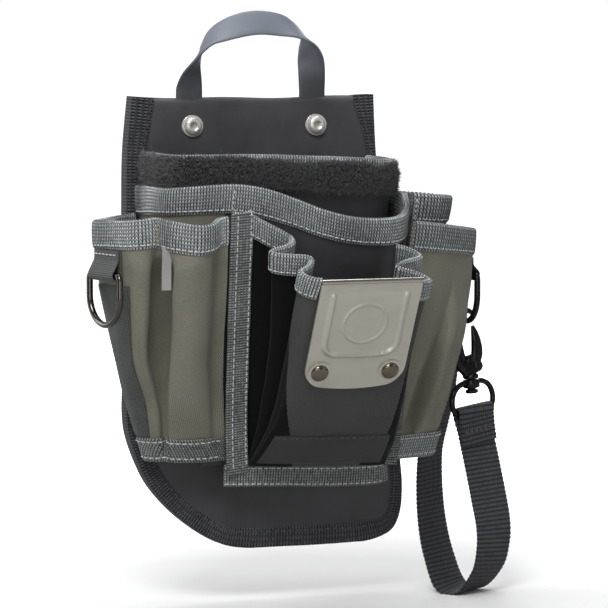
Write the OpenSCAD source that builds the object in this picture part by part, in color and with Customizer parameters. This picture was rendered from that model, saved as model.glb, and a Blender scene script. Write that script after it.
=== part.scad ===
// Electrician tool pouch
// Belt-worn pouch with three rows of pockets, a tape-measure clip, two D-rings,
// a folding handle and a wrist strap on a swivel snap hook.
// +Z is up and -Y is the front. The origin is the middle of the belt clip's flat rear face.

/* [Show] */
// Which sub-part to draw

/* [Cloth and tape] */
// Thickness of the pocket cloth
cloth_t = 1.0; // [0.8:0.1:1.2]
// Thickness of one layer of edge tape
tape_t = 0.8; // [0.6:0.1:0.9]
// Gap kept between neighbouring layers
layer_gap = 0.2; // [0.15:0.05:0.3]
// Height of the folded edge tape on the outside
tape_face = 12.5; // [11:0.5:13]
// Height of the folded edge tape on the centre pocket
centre_tape_face = 10; // [9:0.5:11]
// Height of the pile band round the main pocket
pile_h = 15; // [12:1:16]
// Thickness of the pile band
pile_t = 2.8; // [2:0.2:3]

/* [Panel] */
// Thickness of the front and rear skins
skin_t = 1.3; // [1:0.1:1.4]
// Thickness of the stiffener board
board_t = 4; // [3.6:0.1:4.2]
// Width of the webbing folded round the panel's edge
panel_tape_w = 11.5; // [9:0.5:13]

/* [Handle] */
// Width of the handle strap
handle_w = 14; // [12:0.5:14.5]
// Thickness of the handle strap
handle_t = 2; // [1.6:0.1:2.2]
// Height of the handle loop above the panel
handle_h = 34; // [28:1:40]

/* [Belt clip] */
// Width of the belt clip
clip_w = 86; // [80:1:92]
// Thickness of the clip's steel strip
clip_t = 2; // [1.5:0.1:2.4]
// Depth of the belt slot
belt_gap = 10; // [8:0.5:11]
// Diameter of the socket screw heads
screw_head_d = 9.5; // [9:0.1:10]

/* [Rings and hook] */
// Diameter of the D-ring wire
ring_wire = 3.2; // [2.8:0.1:3.4]
// Width of the D-rings between wire centres
ring_w = 28; // [27:0.5:29]
// Height of the D-rings between wire centres
ring_h = 24.5; // [23.5:0.5:25]
// Width of the ring tabs and of the wrist strap
strap_w = 25; // [22:0.5:25]
// Thickness of the wrist strap
strap_t = 1.8; // [1.4:0.1:2]
// Thickness of the hook body
hook_t = 5; // [4.6:0.1:5.2]
// Diameter of the gate pin
pin_d = 2; // [1.8:0.1:2.2]

/* [Tape-measure clip] */
// Width of the clip plate
plate_w = 52; // [48:1:53]
// Length of the clip plate
plate_h = 62; // [58:1:63]
// Thickness of the clip plate
plate_t = 1.2; // [1:0.1:1.4]
// Diameter of the rivet heads
rivet_d = 9; // [8:0.5:9.5]

/* [Hidden] */
$fn = 40;

canvas = [0.43, 0.42, 0.36];
black = [0.10, 0.10, 0.11];
satin = [0.15, 0.15, 0.16];
grey = [0.48, 0.50, 0.50];
steel = [0.72, 0.70, 0.66];
gunmetal = [0.20, 0.19, 0.20];

panel_top = 232;
panel_t = 2 * skin_t + board_t + 2 * layer_gap;
panel_front = -panel_t;
wall_start = -9.4;
clip_rear = layer_gap + 2 * clip_t + belt_gap;
clip_mid_z = 187;
row_shift = [-1, -clip_rear, -clip_mid_z];
screw_x = [-32, 34];
screw_z = 216.7;
hole_d = 7.4;
handle_y = -skin_t - board_t - layer_gap + handle_t / 2 + layer_gap;
handle_x = [-32.5, 33.2];
tilt = 28.5;
plate_top = [26, -108.9, 144.8];

// ---- helpers -------------------------------------------------------------

function mix(a, b, f) = a + (b - a) * f;

// Smooth curve through control points, k steps between neighbours
function bend(a, b, c, d, t) =
    0.5 * (2 * b + (c - a) * t + (2 * a - 5 * b + 4 * c - d) * t * t
        + (3 * b - a - 3 * c + d) * t * t * t);
function curve(p, k) = concat(
    [for (i = [0:len(p) - 2]) for (j = [0:k - 1])
        bend(p[max(i - 1, 0)], p[i], p[i + 1], p[min(i + 2, len(p) - 1)], j / k)],
    [p[len(p) - 1]]);
function part_of(p, a, b) = [for (i = [a:b]) p[i]];
function row_mix(a, b, f) = [for (i = [0:len(a) - 1]) mix(a[i], b[i], f)];

// Level outward normal of a left-to-right curve
function side(c, i) =
    let (a = c[max(i - 1, 0)], b = c[min(i + 1, len(c) - 1)], l = norm([b[0] - a[0], b[1] - a[1]]))
    [(b[1] - a[1]) / l, -(b[0] - a[0]) / l, 0];
function unit(v) = v / norm(v);
function down(rows, i) = unit(rows[1][i] - rows[0][i]);

// Closed solid through a list of equal cross-sections; quads tile the two ends
module sweep(secs, quads) {
    m = len(secs[0]);
    e = (len(secs) - 1) * m;
    walls = [for (i = [0:len(secs) - 2]) for (j = [0:m - 1])
        let (k = (j + 1) % m, a = i * m, b = a + m)
        each [[a + j, a + k, b + k], [a + j, b + k, b + j]]];
    first = [for (q = quads) each [[q[2], q[1], q[0]], [q[3], q[2], q[0]]]];
    last = [for (q = quads) each [[e + q[0], e + q[1], e + q[2]], [e + q[0], e + q[2], e + q[3]]]];
    polyhedron([for (s = secs) each s], concat(walls, first, last), convexity = 10);
}

// Cloth wall through rows of points, from the top row down.
// The thickness follows the top row's normals, or each row's own normals if the wall is folded.
module cloth(rows, inner = -cloth_t / 2, outer = cloth_t / 2, folded = false) {
    m = len(rows);
    secs = [for (i = [0:len(rows[0]) - 1])
        let (s = [for (r = [0:m - 1]) side(rows[folded ? r : 0], i)])
        concat([for (r = [m - 1:-1:0]) rows[r][i] + outer * s[r]],
            [for (r = [0:m - 1]) rows[r][i] + inner * s[r]])];
    sweep(secs, [for (r = [0:m - 2]) [m - 2 - r, m - 1 - r, m + r, m + r + 1]]);
}

// Tape folded over a wall's top edge
module edge_tape(rows, face = tape_face, gap = layer_gap, t = tape_t) {
    a = cloth_t / 2 + gap;
    b = a + t;
    secs = [for (i = [0:len(rows[0]) - 1])
        let (s = side(rows[0], i), d = down(rows, i), o = rows[0][i])
        [for (p = [[b, face], [b, -layer_gap - t], [-b, -layer_gap - t], [-b, face],
            [-a, face], [-a, -layer_gap], [a, -layer_gap], [a, face]]) o + p[0] * s + p[1] * d]];
    sweep(secs, [[0, 1, 6, 7], [1, 2, 5, 6], [2, 3, 4, 5]]);
}

// Flat ribbon along a centre line, with a width direction at every point
module ribbon(line, wide, w, t) {
    n = len(line);
    secs = [for (i = [0:n - 1])
        let (d = unit(line[min(i + 1, n - 1)] - line[max(i - 1, 0)]),
            v = unit(wide[i] - (wide[i] * d) * d), u = cross(d, v))
        [line[i] + u * t / 2 - v * w / 2, line[i] + u * t / 2 + v * w / 2,
            line[i] - u * t / 2 + v * w / 2, line[i] - u * t / 2 - v * w / 2]];
    sweep(secs, [[0, 1, 2, 3]]);
}

// Moves a piece from the panel's own frame to the clip's
module placed() {
    translate(row_shift) children();
}

// Plate drawn in x and z, from y towards the front by t
module plate(y, t) {
    translate([0, y, 0]) rotate([90, 0, 0]) linear_extrude(t) children();
}

module rod(a, b, d) {
    v = b - a;
    translate(a) rotate([0, acos(v[2] / norm(v)), atan2(v[1], v[0])]) cylinder(d = d, h = norm(v));
}

module quarter(r, d, start, sweep_angle = 90) {
    rotate([90, 0, 0]) rotate([0, 0, start]) rotate_extrude(angle = sweep_angle)
        translate([r, 0]) circle(d = d);
}

// ---- panel ---------------------------------------------------------------

// Edge of the panel, from top left round the bottom to top right
panel_edge = curve([[-64.4, panel_top], [-67, 205], [-67.6, 178], [-67.8, 130], [-67.7, 90],
    [-68, 72], [-65.8, 58], [-58.2, 39.4], [-49.4, 27.2], [-38.2, 16.4], [-24.8, 7], [-13, 2.2],
    [3.4, 0.4], [38, 0], [61.4, 0.8], [75.5, 5], [81.3, 15], [82.6, 30], [81.3, 46],
    [77, 100], [72, 150], [67.6, 203], [66.2, panel_top]], 3);

module panel_shape() {
    polygon(panel_edge);
}

module screw_holes(d) {
    for (x = screw_x) translate([x, screw_z]) circle(d = d);
}

module panel_rear_skin() {
    color(black) placed() plate(0, skin_t) difference() {
        panel_shape();
        screw_holes(hole_d);
    }
}

module panel_stiffener() {
    color([0.3, 0.3, 0.3]) placed() difference() {
        plate(-skin_t - layer_gap, board_t) difference() {
            offset(delta = -2) panel_shape();
            screw_holes(hole_d);
        }
        for (x = handle_x) translate([x, handle_y, panel_top - 14])
            cube([handle_w + 1, handle_t + 0.4, 34], center = true);
    }
}

module panel_front_skin() {
    color(satin) placed() plate(panel_front + skin_t, skin_t) difference() {
        panel_shape();
        screw_holes(hole_d);
    }
}

module panel_tape_ring(out_by, in_by) {
    intersection() {
        difference() {
            offset(delta = out_by) panel_shape();
            offset(delta = -in_by) panel_shape();
        }
        translate([-90, -10]) square([190, panel_top + 9.6]);
    }
}

module panel_binding() {
    color(black) placed() {
        difference() {
            union() {
                plate(panel_front - 0.15, 1.2) panel_tape_ring(1.4, panel_tape_w);
                plate(1.3, panel_t + 2.6) panel_tape_ring(1.4, -0.25);
                plate(1.35, 1.2) panel_tape_ring(1.4, panel_tape_w);
            }
            translate([-56, -20, panel_top - panel_tape_w - 4]) cube([113, 40, 40]);
        }
    }
}

// ---- handle --------------------------------------------------------------

module handle_tails() {
    color(black) placed() difference() {
        for (x = handle_x)
            translate([x, handle_y, panel_top - 13]) cube([handle_w, handle_t, 26], center = true);
        for (x = screw_x)
            translate([x, 0, screw_z]) rotate([90, 0, 0]) cylinder(d = hole_d, h = 20);
    }
}

handle_base = panel_top + 2.4;
// Centre line, heights as shares of the loop's height, and the width direction at each point
handle_line = curve([[handle_x[0], handle_y, 0], [handle_x[0], handle_y, 0.06], [-30.8, -4, 0.21],
    [-28.3, -4.8, 0.44], [-25.6, -6.3, 0.62],
    [-20.1, -7.2, 0.79], [-10.1, -7.7, 0.93], [1.9, -7.9, 1], [14.4, -7.6, 0.97], [22.9, -7, 0.89],
    [28.6, -6.2, 0.77], [31.2, -5.5, 0.6], [32.8, -4.7, 0.34],
    [handle_x[1], handle_y, 0.06], [handle_x[1], handle_y, 0]], 3);
handle_wide = curve([[-1, 0, 0], [-1, 0, 0], [-0.9, -0.42, -0.12], [-0.54, -0.83, -0.16], [-0.36, -0.86, -0.36],
    [-0.31, -0.73, -0.61], [-0.2, -0.57, -0.8], [-0.1, -0.5, -0.86], [-0.14, -0.57, -0.81],
    [-0.07, -0.82, -0.57], [0.09, -0.91, -0.39], [0.55, -0.7, -0.45], [0.9, -0.3, -0.29],
    [1, 0, 0], [1, 0, 0]], 3);

module handle_loop() {
    line = [for (p = handle_line) [p[0], p[1], handle_base + handle_h * p[2]]];
    color(black) placed() ribbon(line, handle_wide, handle_w, handle_t);
}

// ---- belt clip and screws --------------------------------------------------

module belt_clip() {
    r_out = clip_rear / 2 - layer_gap / 2;
    top = 216 + r_out;
    color(steel) placed() translate([1 - clip_w / 2, 0, 0]) difference() {
        rotate([90, 0, 90]) linear_extrude(clip_w) union() {
            translate([layer_gap, 172]) square([clip_t, top - 172]);
            translate([clip_rear - clip_t, 152]) square([clip_t, top - 152]);
            translate([layer_gap + r_out, top]) difference() {
                circle(r = r_out);
                circle(r = r_out - clip_t);
                translate([-r_out - 1, -2 * r_out]) square([2 * r_out + 2, 2 * r_out]);
            }
        }
        for (x = screw_x) translate([x - 1 + clip_w / 2, 0, screw_z])
            rotate([-90, 0, 0]) cylinder(d = 7.2, h = clip_t + 1);
    }
}

washer_t = 0.8;
washer_y = panel_front - washer_t - 0.1;
module at_screws() {
    for (x = screw_x) translate([x, 0, screw_z]) rotate([90, 0, 0]) children();
}

module clip_screws() {
    color(steel) placed() at_screws() difference() {
        union() {
            translate([0, 0, -washer_y + 0.05]) cylinder(d = screw_head_d, h = 1);
            translate([0, 0, -washer_y + 1.05]) cylinder(d1 = screw_head_d, d2 = 5.4, h = 1.7);
            translate([0, 0, -1]) cylinder(d = 4.8, h = 1.1 - washer_y);
        }
        translate([0, 0, -washer_y + 1]) cylinder(d = 3.4, h = 4, $fn = 6);
    }
}

module clip_washers() {
    color(steel) placed() at_screws() translate([0, 0, -washer_y - washer_t]) difference() {
        cylinder(d = 10.6, h = washer_t);
        translate([0, 0, -1]) cylinder(d = 5.3, h = 3);
    }
}

module clip_nuts() {
    color(steel) placed() at_screws() difference() {
        union() {
            translate([0, 0, -clip_t - layer_gap - 1.3]) cylinder(d = 12, h = 1.2);
            translate([0, 0, -clip_t - layer_gap - 0.3]) cylinder(d = 6.8, h = 8);
        }
        translate([0, 0, -10]) cylinder(d = 4.9, h = 30);
    }
}

// ---- main pocket -----------------------------------------------------------

main_top = curve([[-57, wall_start, 203], [-57.5, -28, 203], [-56, -48, 203], [-46, -57, 203],
    [-20, -58.5, 203], [10, -58.5, 202], [40, -58, 200.5], [54, -55, 199.5], [60.5, -44, 199.5],
    [62, -28, 199.5], [61.5, wall_start, 199.5]], 4);
main_low = curve([[-47, wall_start, 48], [-46.8, -10.5, 48], [-45, -12.5, 48], [-38, -14, 48],
    [-18, -15, 48], [10, -15, 48], [38, -15, 48], [50, -14, 48], [57, -12.5, 48],
    [59.5, -10.8, 48], [60, wall_start, 48]], 4);
main_rows = [main_top, main_low];

module main_pocket_wall() {
    color(satin) placed() cloth(main_rows);
}

module main_pocket_edge_tape() {
    color(grey) placed() edge_tape(main_rows, 5);
}

module main_pocket_pile_band() {
    a = cloth_t / 2 + 2 * layer_gap + tape_t;
    color(black) placed() cloth([row_mix(main_top, main_low, 0.002),
        row_mix(main_top, main_low, pile_h / 155)], a, a + pile_t);
}

// ---- middle pocket -----------------------------------------------------------

mid_top = curve([[-61, wall_start, 186], [-61.8, -30, 186.3], [-60, -52, 186.5],
    [-49, -62.5, 187.5], [-29.6, -65.5, 188.5], [-14.5, -67, 186.3], [0, -70, 181.5],
    [14, -73, 175.8], [29, -74.5, 172], [46, -74, 171], [57, -69, 172.5], [64, -57, 177],
    [67.8, -44, 181.5], [69, -28, 182], [67.5, wall_start, 182]], 4);
mid_low = curve([[-52, wall_start, 46], [-52, -11, 46], [-50, -14.5, 46], [-42, -17.5, 46],
    [-30, -18.8, 46], [-14, -19.3, 46], [0, -19.3, 46], [14, -19.3, 46], [29, -19, 46],
    [42, -18.6, 46], [52, -17.2, 46], [58, -15.2, 46], [62, -13, 46], [64, -11, 46],
    [64.5, wall_start, 46]], 4);
mid_seam = 16;
mid_end = len(mid_top) - 1;

module middle_pocket_left_wall() {
    color(canvas) placed() cloth([part_of(mid_top, 0, mid_seam), part_of(mid_low, 0, mid_seam)]);
}

module middle_pocket_front_wall() {
    gap = [0.4, 0, 0];
    color(satin) placed() cloth([concat([mid_top[mid_seam] + gap], part_of(mid_top, mid_seam + 1, mid_end)),
        concat([mid_low[mid_seam] + gap], part_of(mid_low, mid_seam + 1, mid_end))]);
}

module middle_pocket_binding() {
    color(grey) placed() edge_tape([mid_top, mid_low]);
}

// ---- rear right pocket -------------------------------------------------------

rear_top = curve([[72, -45, 181.5], [82, -43, 180.5], [93, -37, 179.5], [99, -28, 179],
    [97.5, -17, 179], [87, -12, 180], [73.5, -10.6, 181]], 4);
rear_low = curve([[66.5, -17, 50], [70, -16.5, 50], [75, -15, 50], [78.5, -13.4, 50],
    [79, -11.8, 50], [76, -10.8, 50], [71, -10.4, 50]], 4);

module rear_right_pocket_wall() {
    color(canvas) placed() cloth([rear_top, rear_low]);
}

module rear_right_binding() {
    color(grey) placed() edge_tape([rear_top, rear_low]);
}

// ---- left pocket ---------------------------------------------------------------

left_top = curve([[-64, -10.4, 172], [-78, -21, 171.3], [-90.3, -34, 170.5], [-88.5, -48, 171],
    [-83, -61, 171.5], [-78.5, -66, 172.2], [-73.5, -66.8, 172.8], [-69.5, -65, 173],
    [-66.5, -65.5, 172.6], [-63.5, -68.5, 171.8], [-60.5, -73, 171], [-52, -78.3, 169.7],
    [-44.5, -76.8, 170.4], [-39.5, -71.5, 172.4], [-35.5, -70.5, 173.3]], 4);
left_neck = curve([[-63.8, -10.4, 157], [-77.6, -20.8, 157], [-89.5, -33.4, 157], [-87.6, -47.4, 157],
    [-82.2, -60.4, 157], [-78, -65.6, 157], [-73, -65.6, 157], [-69, -62.5, 157],
    [-66, -62.8, 157], [-62.8, -66, 157], [-60.8, -71.5, 157], [-52.3, -77.6, 157],
    [-45, -75.8, 157], [-39.5, -69.5, 157], [-35, -68.5, 157]], 4);
left_shoulder = curve([[-63.2, -10.4, 143], [-76.4, -20.2, 143], [-88, -32.2, 143], [-86, -46, 143],
    [-80.6, -58, 143], [-76.5, -62.5, 143], [-71.7, -61.5, 143], [-66.6, -50, 143],
    [-58.2, -50.5, 143], [-57.6, -59, 143], [-61, -69.5, 143], [-54.7, -75, 143],
    [-45.4, -73, 143], [-38.6, -64.5, 143], [-33.7, -64, 143]], 4);
left_waist = curve([[-61.3, -10.4, 105], [-70, -17, 105], [-77.4, -26, 105], [-78.9, -38, 105],
    [-75.2, -46, 105], [-71.8, -48, 105], [-68.2, -46.5, 105], [-63.6, -35, 105],
    [-55.2, -36, 105], [-54, -45, 105], [-57.9, -54.5, 105], [-50.6, -60.5, 105],
    [-42.3, -58.5, 105], [-36.4, -50, 105], [-30.8, -49, 105]], 4);
left_knee = curve([[-59.3, -10.4, 80], [-65, -14, 80], [-69.7, -19, 80], [-69.6, -27, 80],
    [-64.8, -33, 80], [-61.7, -35, 80], [-58.8, -34, 80], [-56.4, -28, 80],
    [-52.4, -28.8, 80], [-51.6, -34.5, 80], [-54.9, -41.5, 80], [-46.3, -47, 80],
    [-36.8, -45, 80], [-32.4, -39, 80], [-27.1, -38, 80]], 4);
left_low = curve([[-56, -10.4, 50], [-58, -12, 50], [-59, -14, 50], [-58.6, -16.2, 50],
    [-57, -18.2, 50], [-55.3, -19.5, 50], [-53.6, -20.5, 50], [-52.2, -21.3, 50],
    [-50.9, -22.2, 50], [-49.7, -23.2, 50], [-48.2, -24.5, 50], [-40.3, -27.6, 50],
    [-31.6, -28.2, 50], [-26.8, -27.3, 50], [-22.3, -26.5, 50]], 4);
left_rows = [left_top, left_neck, left_shoulder, left_waist, left_knee, left_low];

module left_pocket_wall() {
    color(canvas) placed() cloth(left_rows, folded = true);
}

module left_pocket_binding() {
    color(grey) placed() edge_tape(left_rows, gap = 0.65);
}

// Outer layer laid on a wall between two heights
outside = cloth_t / 2 + 2 * layer_gap;
module outer_layer(rows, t, folded = false, off = outside) {
    cloth(rows, off, off + t, folded);
}

module left_side_tape() {
    a = 9;
    b = 16;
    rows = [row_mix(left_shoulder, left_waist, 0.06), left_waist, left_knee,
        row_mix(left_knee, left_low, 0.45)];
    color(grey) placed() outer_layer([for (r = rows) part_of(r, a, b)], tape_t, true);
}

module left_bottom_tape() {
    a = 8;
    e = len(left_low) - 1;
    rows = [row_mix(left_knee, left_low, 0.58), row_mix(left_knee, left_low, 1.03)];
    color(grey) placed() outer_layer([for (r = rows) part_of(r, a, e)], tape_t, true, outside + 0.4);
}

module pocket_tag() {
    color([0.75, 0.72, 0.70]) placed() translate([-66.6, -66.3, 139])
        cube([4.6, 0.6, 13]);
}

// ---- centre pocket ---------------------------------------------------------------

// Pleated gusset from the back corner to the front corner of one row
function pleats(from, to, wave, turns, n) = [for (i = [0:n - 1])
    mix(from, to, i / n) + [wave * sin(360 * turns * i / n), 0, 0]];
function centre_row(lb, lf, rf, rb, wave) = concat(
    pleats(lb, lf, wave, 2, 26),
    [for (i = [0:7]) mix(lf, rf, i / 8)],
    [for (i = [0:20]) mix(rf, rb, i / 20) + [wave * sin(540 * i / 20), 0, 0]]);

centre_top = centre_row([-20, -73.6, 172], [-3, -106.5, 145], [54, -106.5, 142.5], [54.5, -79, 157], 4);
centre_knee = centre_row([-13.5, -43, 90], [-6.5, -71.5, 82], [54.5, -70, 80], [60, -44, 88], 2.2);
centre_low = centre_row([-9, -24.5, 47], [-5.5, -28.5, 47.5], [60, -28, 44], [62.5, -22, 46], 0);
centre_rows = [centre_top, centre_knee, centre_low];
centre_left_n = 26;
centre_right_n = 34;

module centre_pocket_wall() {
    color(black) placed() cloth(centre_rows);
}

module centre_left_binding() {
    color(grey) placed() edge_tape([part_of(centre_top, 0, centre_left_n),
        part_of(centre_knee, 0, centre_left_n)], centre_tape_face);
}

module centre_right_binding() {
    e = len(centre_top) - 1;
    color(grey) placed() edge_tape([part_of(centre_top, centre_right_n, e),
        part_of(centre_knee, centre_right_n, e)], centre_tape_face);
}

module toe_strip() {
    a = 26;
    b = 34;
    color(satin) placed() outer_layer([part_of(row_mix(centre_knee, centre_low, 0.4), a, b),
        part_of(row_mix(centre_knee, centre_low, 0.97), a, b)], 0.8);
}

module centre_side_tape() {
    line = curve([[-28.6, -73.8, 175.5], [-25.2, -60, 133], [-19, -38, 73], [-15.5, -28.5, 47]], 6);
    color(grey) placed() ribbon(line, [for (p = line) [1, 0, 0]], 11, 1);
}

module centre_bottom_tape() {
    top = [[-20.5, -27, 45.6], [0, -31.6, 45.4], [30, -31.6, 43.4], [60, -31, 41.6], [73, -22, 43]];
    low = [[-20, -22, 36.5], [0, -22.5, 35.5], [30, -22.5, 34.5], [60, -22.5, 33.5], [72, -20.5, 33.5]];
    color(grey) placed() cloth([top, low]);
}

// ---- tape-measure clip -------------------------------------------------------------

module on_plate() {
    translate(plate_top) rotate([tilt, 0, 0]) children();
}

rivet_x = 18.4;
rivet_drop = 52;
module plate_outline() {
    difference() {
        union() {
            translate([-plate_w / 2, -plate_h + 14]) square([plate_w, plate_h - 14]);
            intersection() {
                translate([-plate_w / 2, -plate_h]) square([plate_w, 14.1]);
                translate([0, 60 - plate_h]) circle(r = 60, $fn = 120);
                union() {
                    for (s = [-1, 1]) translate([s * (plate_w / 2 - 9), 9 - plate_h + 5]) circle(r = 9);
                    translate([9 - plate_w / 2, -plate_h]) square([plate_w - 18, 14.1]);
                    translate([-plate_w / 2, 14 - plate_h]) square([plate_w, 0.1]);
                }
            }
        }
        for (s = [-1, 1]) translate([s * rivet_x, -rivet_drop]) circle(d = 5.2);
    }
}

// Pressed ridge: down one side, across and up the other
module ridge_shape() {
    difference() {
        offset(r = 5) translate([-15, -38]) square([30, 40]);
        offset(r = 3.2) translate([-15, -38]) square([30, 50]);
        translate([-30, -5]) square([60, 20]);
    }
}

module tape_clip_plate() {
    color(steel) placed() on_plate() {
        plate(0, plate_t) plate_outline();
        plate(-plate_t + 0.1, 0.9) ridge_shape();
        translate([-plate_w / 2, -plate_t / 2 + 0.2, 0]) rotate([0, 90, 0]) cylinder(d = 2.6, h = plate_w);
    }
}

module tape_clip_rivets() {
    color(gunmetal) placed() on_plate() for (s = [-1, 1]) translate([s * rivet_x, -plate_t, -rivet_drop])
        rotate([90, 0, 0]) {
            translate([0, 0, 0.05]) cylinder(d = rivet_d, h = 0.9);
            translate([0, 0, 0.95]) cylinder(d1 = rivet_d, d2 = 3.5, h = 1.6);
            translate([0, 0, -plate_t]) cylinder(d = 5, h = plate_t + 0.1);
        }
}

// ---- front right pocket -------------------------------------------------------------

front_top = curve([[63.5, -69.5, 169], [76, -64.5, 167.5], [92, -54, 165], [105, -42, 163],
    [111.2, -30, 162], [111.6, -14, 162], [104.5, -12.5, 163]], 4);
front_waist = curve([[61, -51, 100], [70, -49, 100], [84, -44, 100], [97, -38, 100],
    [103, -28, 100], [102, -14.5, 100], [95, -12.5, 100]], 4);
front_low = curve([[65, -25.5, 48], [72, -24, 48], [82, -21.5, 48], [91, -19, 48],
    [94.5, -16.4, 48], [93, -13.8, 48], [87, -12.6, 48]], 4);
front_rows = [front_top, front_waist, front_low];

module front_right_pocket_wall() {
    color(canvas) placed() cloth(front_rows);
}

module front_right_binding() {
    color(grey) placed() edge_tape(front_rows);
}

module right_bottom_tape() {
    color(grey) placed() outer_layer([row_mix(front_waist, front_low, 0.8),
        row_mix(front_waist, front_low, 1.04)], tape_t);
}

// ---- rings and tabs -------------------------------------------------------------------

left_ring_at = [-90.3, -49, 146.5];
left_ring_turn = -75;
right_ring_at = [113.4, -18, 139.5];
right_ring_turn = 90;
corner_r = 2.6;

// Hangs from a bar on the local x axis
module d_ring() {
    leg = ring_h - ring_w / 2 - corner_r;
    x = ring_w / 2;
    union() {
        rod([corner_r - x, 0, 0], [x - corner_r, 0, 0], ring_wire);
        translate([x - corner_r, 0, -corner_r]) quarter(corner_r, ring_wire, 0);
        translate([corner_r - x, 0, -corner_r]) quarter(corner_r, ring_wire, 90);
        for (s = [-1, 1]) translate([s * x, 0, -corner_r - leg]) cylinder(d = ring_wire, h = leg);
        translate([0, 0, -corner_r - leg]) quarter(x, ring_wire, 180, 180);
    }
}

// Tape loop round the bar, its doubled leaf rising on the +y side
module ring_tab(leaf) {
    tab_w = ring_w - ring_wire - 3.4;
    r_in = ring_wire / 2 + 0.15;
    r_out = r_in + 1.2;
    leaf_t = 1.5;
    translate([-tab_w / 2, 0, 0]) rotate([90, 0, 90]) linear_extrude(tab_w) difference() {
        union() {
            circle(r = r_out);
            translate([r_out - 2, 0]) square([leaf_t, leaf]);
        }
        circle(r = r_in);
    }
}

module left_ring_tab() {
    color(grey) placed() translate(left_ring_at) rotate([0, 0, left_ring_turn]) ring_tab(10);
}

module left_d_ring() {
    color(gunmetal) placed() translate(left_ring_at) rotate([0, 0, left_ring_turn]) d_ring();
}

module right_ring_tab() {
    color(grey) placed() translate(right_ring_at) rotate([0, 0, right_ring_turn]) ring_tab(9);
}

module right_d_ring() {
    color(gunmetal) placed() translate(right_ring_at) rotate([0, 0, right_ring_turn]) d_ring();
}

// ---- swivel hook ------------------------------------------------------------------------

eye_at = [117.5, -18, 68];
chain_lean = -5.2;
eye_turn = 22;
eye_wire = 3.4;
eye_half = 14.8;
eye_h = 15;

module chain() {
    translate(eye_at) rotate([0, chain_lean, 0]) children();
}

module swivel_eye() {
    low_r = 3;
    high_r = 7;
    color(gunmetal) placed() chain() rotate([0, 0, eye_turn]) difference() {
        union() {
            rod([low_r - eye_half, 0, 0], [eye_half - low_r, 0, 0], eye_wire);
            translate([eye_half - low_r, 0, low_r]) quarter(low_r, eye_wire, 270);
            translate([low_r - eye_half, 0, low_r]) quarter(low_r, eye_wire, 180);
            for (s = [-1, 1]) translate([s * eye_half, 0, low_r])
                cylinder(d = eye_wire, h = eye_h - low_r - high_r);
            translate([eye_half - high_r, 0, eye_h - high_r]) quarter(high_r, eye_wire, 0);
            translate([high_r - eye_half, 0, eye_h - high_r]) quarter(high_r, eye_wire, 90);
            rod([high_r - eye_half, 0, eye_h], [eye_half - high_r, 0, eye_h], eye_wire);
            translate([0, 0, eye_h - 2.9]) cylinder(d = 9, h = 4.4);
        }
        translate([0, 0, eye_h - 5]) cylinder(d = 4.3, h = 12);
    }
}

pivot = [3.4, 23.2];
slot_t = 3.9;
gate_t = 3.6;
pivot_boss = 3.2;
stem_d = 4.1;

module oval(z, rx, rz) {
    translate([0, z]) scale([rx / rz, 1]) circle(r = rz, $fn = 64);
}

module at_pivot() {
    translate([pivot[0], 0, pivot[1]]) rotate([90, 0, 0]) children();
}

module hook_outline() {
    difference() {
        union() {
            oval(36.2, 7.4, 17.8);
            translate(pivot) circle(r = pivot_boss);
            translate([-2, 21.4]) circle(r = 3.4);
        }
        oval(39.6, 4.6, 11.4);
        translate([1.5, 27]) square([8, 18.5]);
    }
}

module hook_body() {
    color(gunmetal) placed() chain() difference() {
        union() {
            translate([0, 0, 9.2]) cylinder(d = 6.6, h = 2.2);
            translate([0, 0, 9.4]) cylinder(d = stem_d, h = 12);
            translate([0, 0, 16.9]) cylinder(d = 8.4, h = 3);
            plate(hook_t / 2, hook_t) hook_outline();
        }
        at_pivot() cylinder(d = pin_d + 0.04, h = 20, center = true);
        translate([0.2, -slot_t / 2, pivot[1] - 2.9]) cube([10, slot_t, 12]);
    }
}

module hook_gate() {
    color(gunmetal) placed() chain() difference() {
        plate(gate_t / 2, gate_t) union() {
            translate(pivot) circle(r = 2.3);
            polygon([[2.2, 24], [4.4, 30.2], [4.2, 36], [2.8, 43.4], [4.4, 43.8], [6, 37], [6.8, 30], [5.5, 23.2]]);
        }
        at_pivot() cylinder(d = pin_d + 0.1, h = 20, center = true);
    }
}

module gate_pin() {
    color(steel) placed() chain() at_pivot() cylinder(d = pin_d, h = hook_t + 0.6, center = true);
}

// ---- wrist strap --------------------------------------------------------------------------

module strap_top_loop() {
    r_in = eye_wire / 2 + 0.15;
    r_out = r_in + strap_t / 2 + 0.3;
    tongue = 14;
    w = min(strap_w, 2 * eye_half - eye_wire - 3);
    color(black) placed() chain() rotate([0, 0, eye_turn]) translate([-w / 2, 0, 0])
        rotate([90, 0, 90]) linear_extrude(w) difference() {
            union() {
                circle(r = r_out);
                translate([-1.4, -tongue]) square([2.8, tongue]);
            }
            circle(r = r_in);
        }
}

strap_line = curve([[119.2, -18.6, 50], [122, -22.5, 34], [124, -26, 20], [124.8, -29, 4],
    [122.5, -27.5, -12], [115.5, -20, -25], [108, -11, -24], [103.7, -4.5, -8],
    [101.4, -1.4, 8], [100.4, 0, 26], [100.6, -0.4, 44], [103, -2, 58], [105.8, -4, 70]], 4);

module strap_run() {
    n = len(strap_line) - 1;
    color(black) placed() ribbon(strap_line,
        [for (i = [0:n]) mix([0.923, 0.375, 0.084], [0.785, 0.619, 0], i / n)], strap_w, strap_t);
}

module strap_tail() {
    line = [[106.8, -4.8, 75], [108.2, -5.6, 84], [109.4, -6, 94], [110, -6, 104]];
    color(black) placed() ribbon(line, [for (p = line) [0.785, 0.619, 0]], strap_w - 9, strap_t);
}

// ---- assembly ---------------------------------------------------------------------------------

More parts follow.
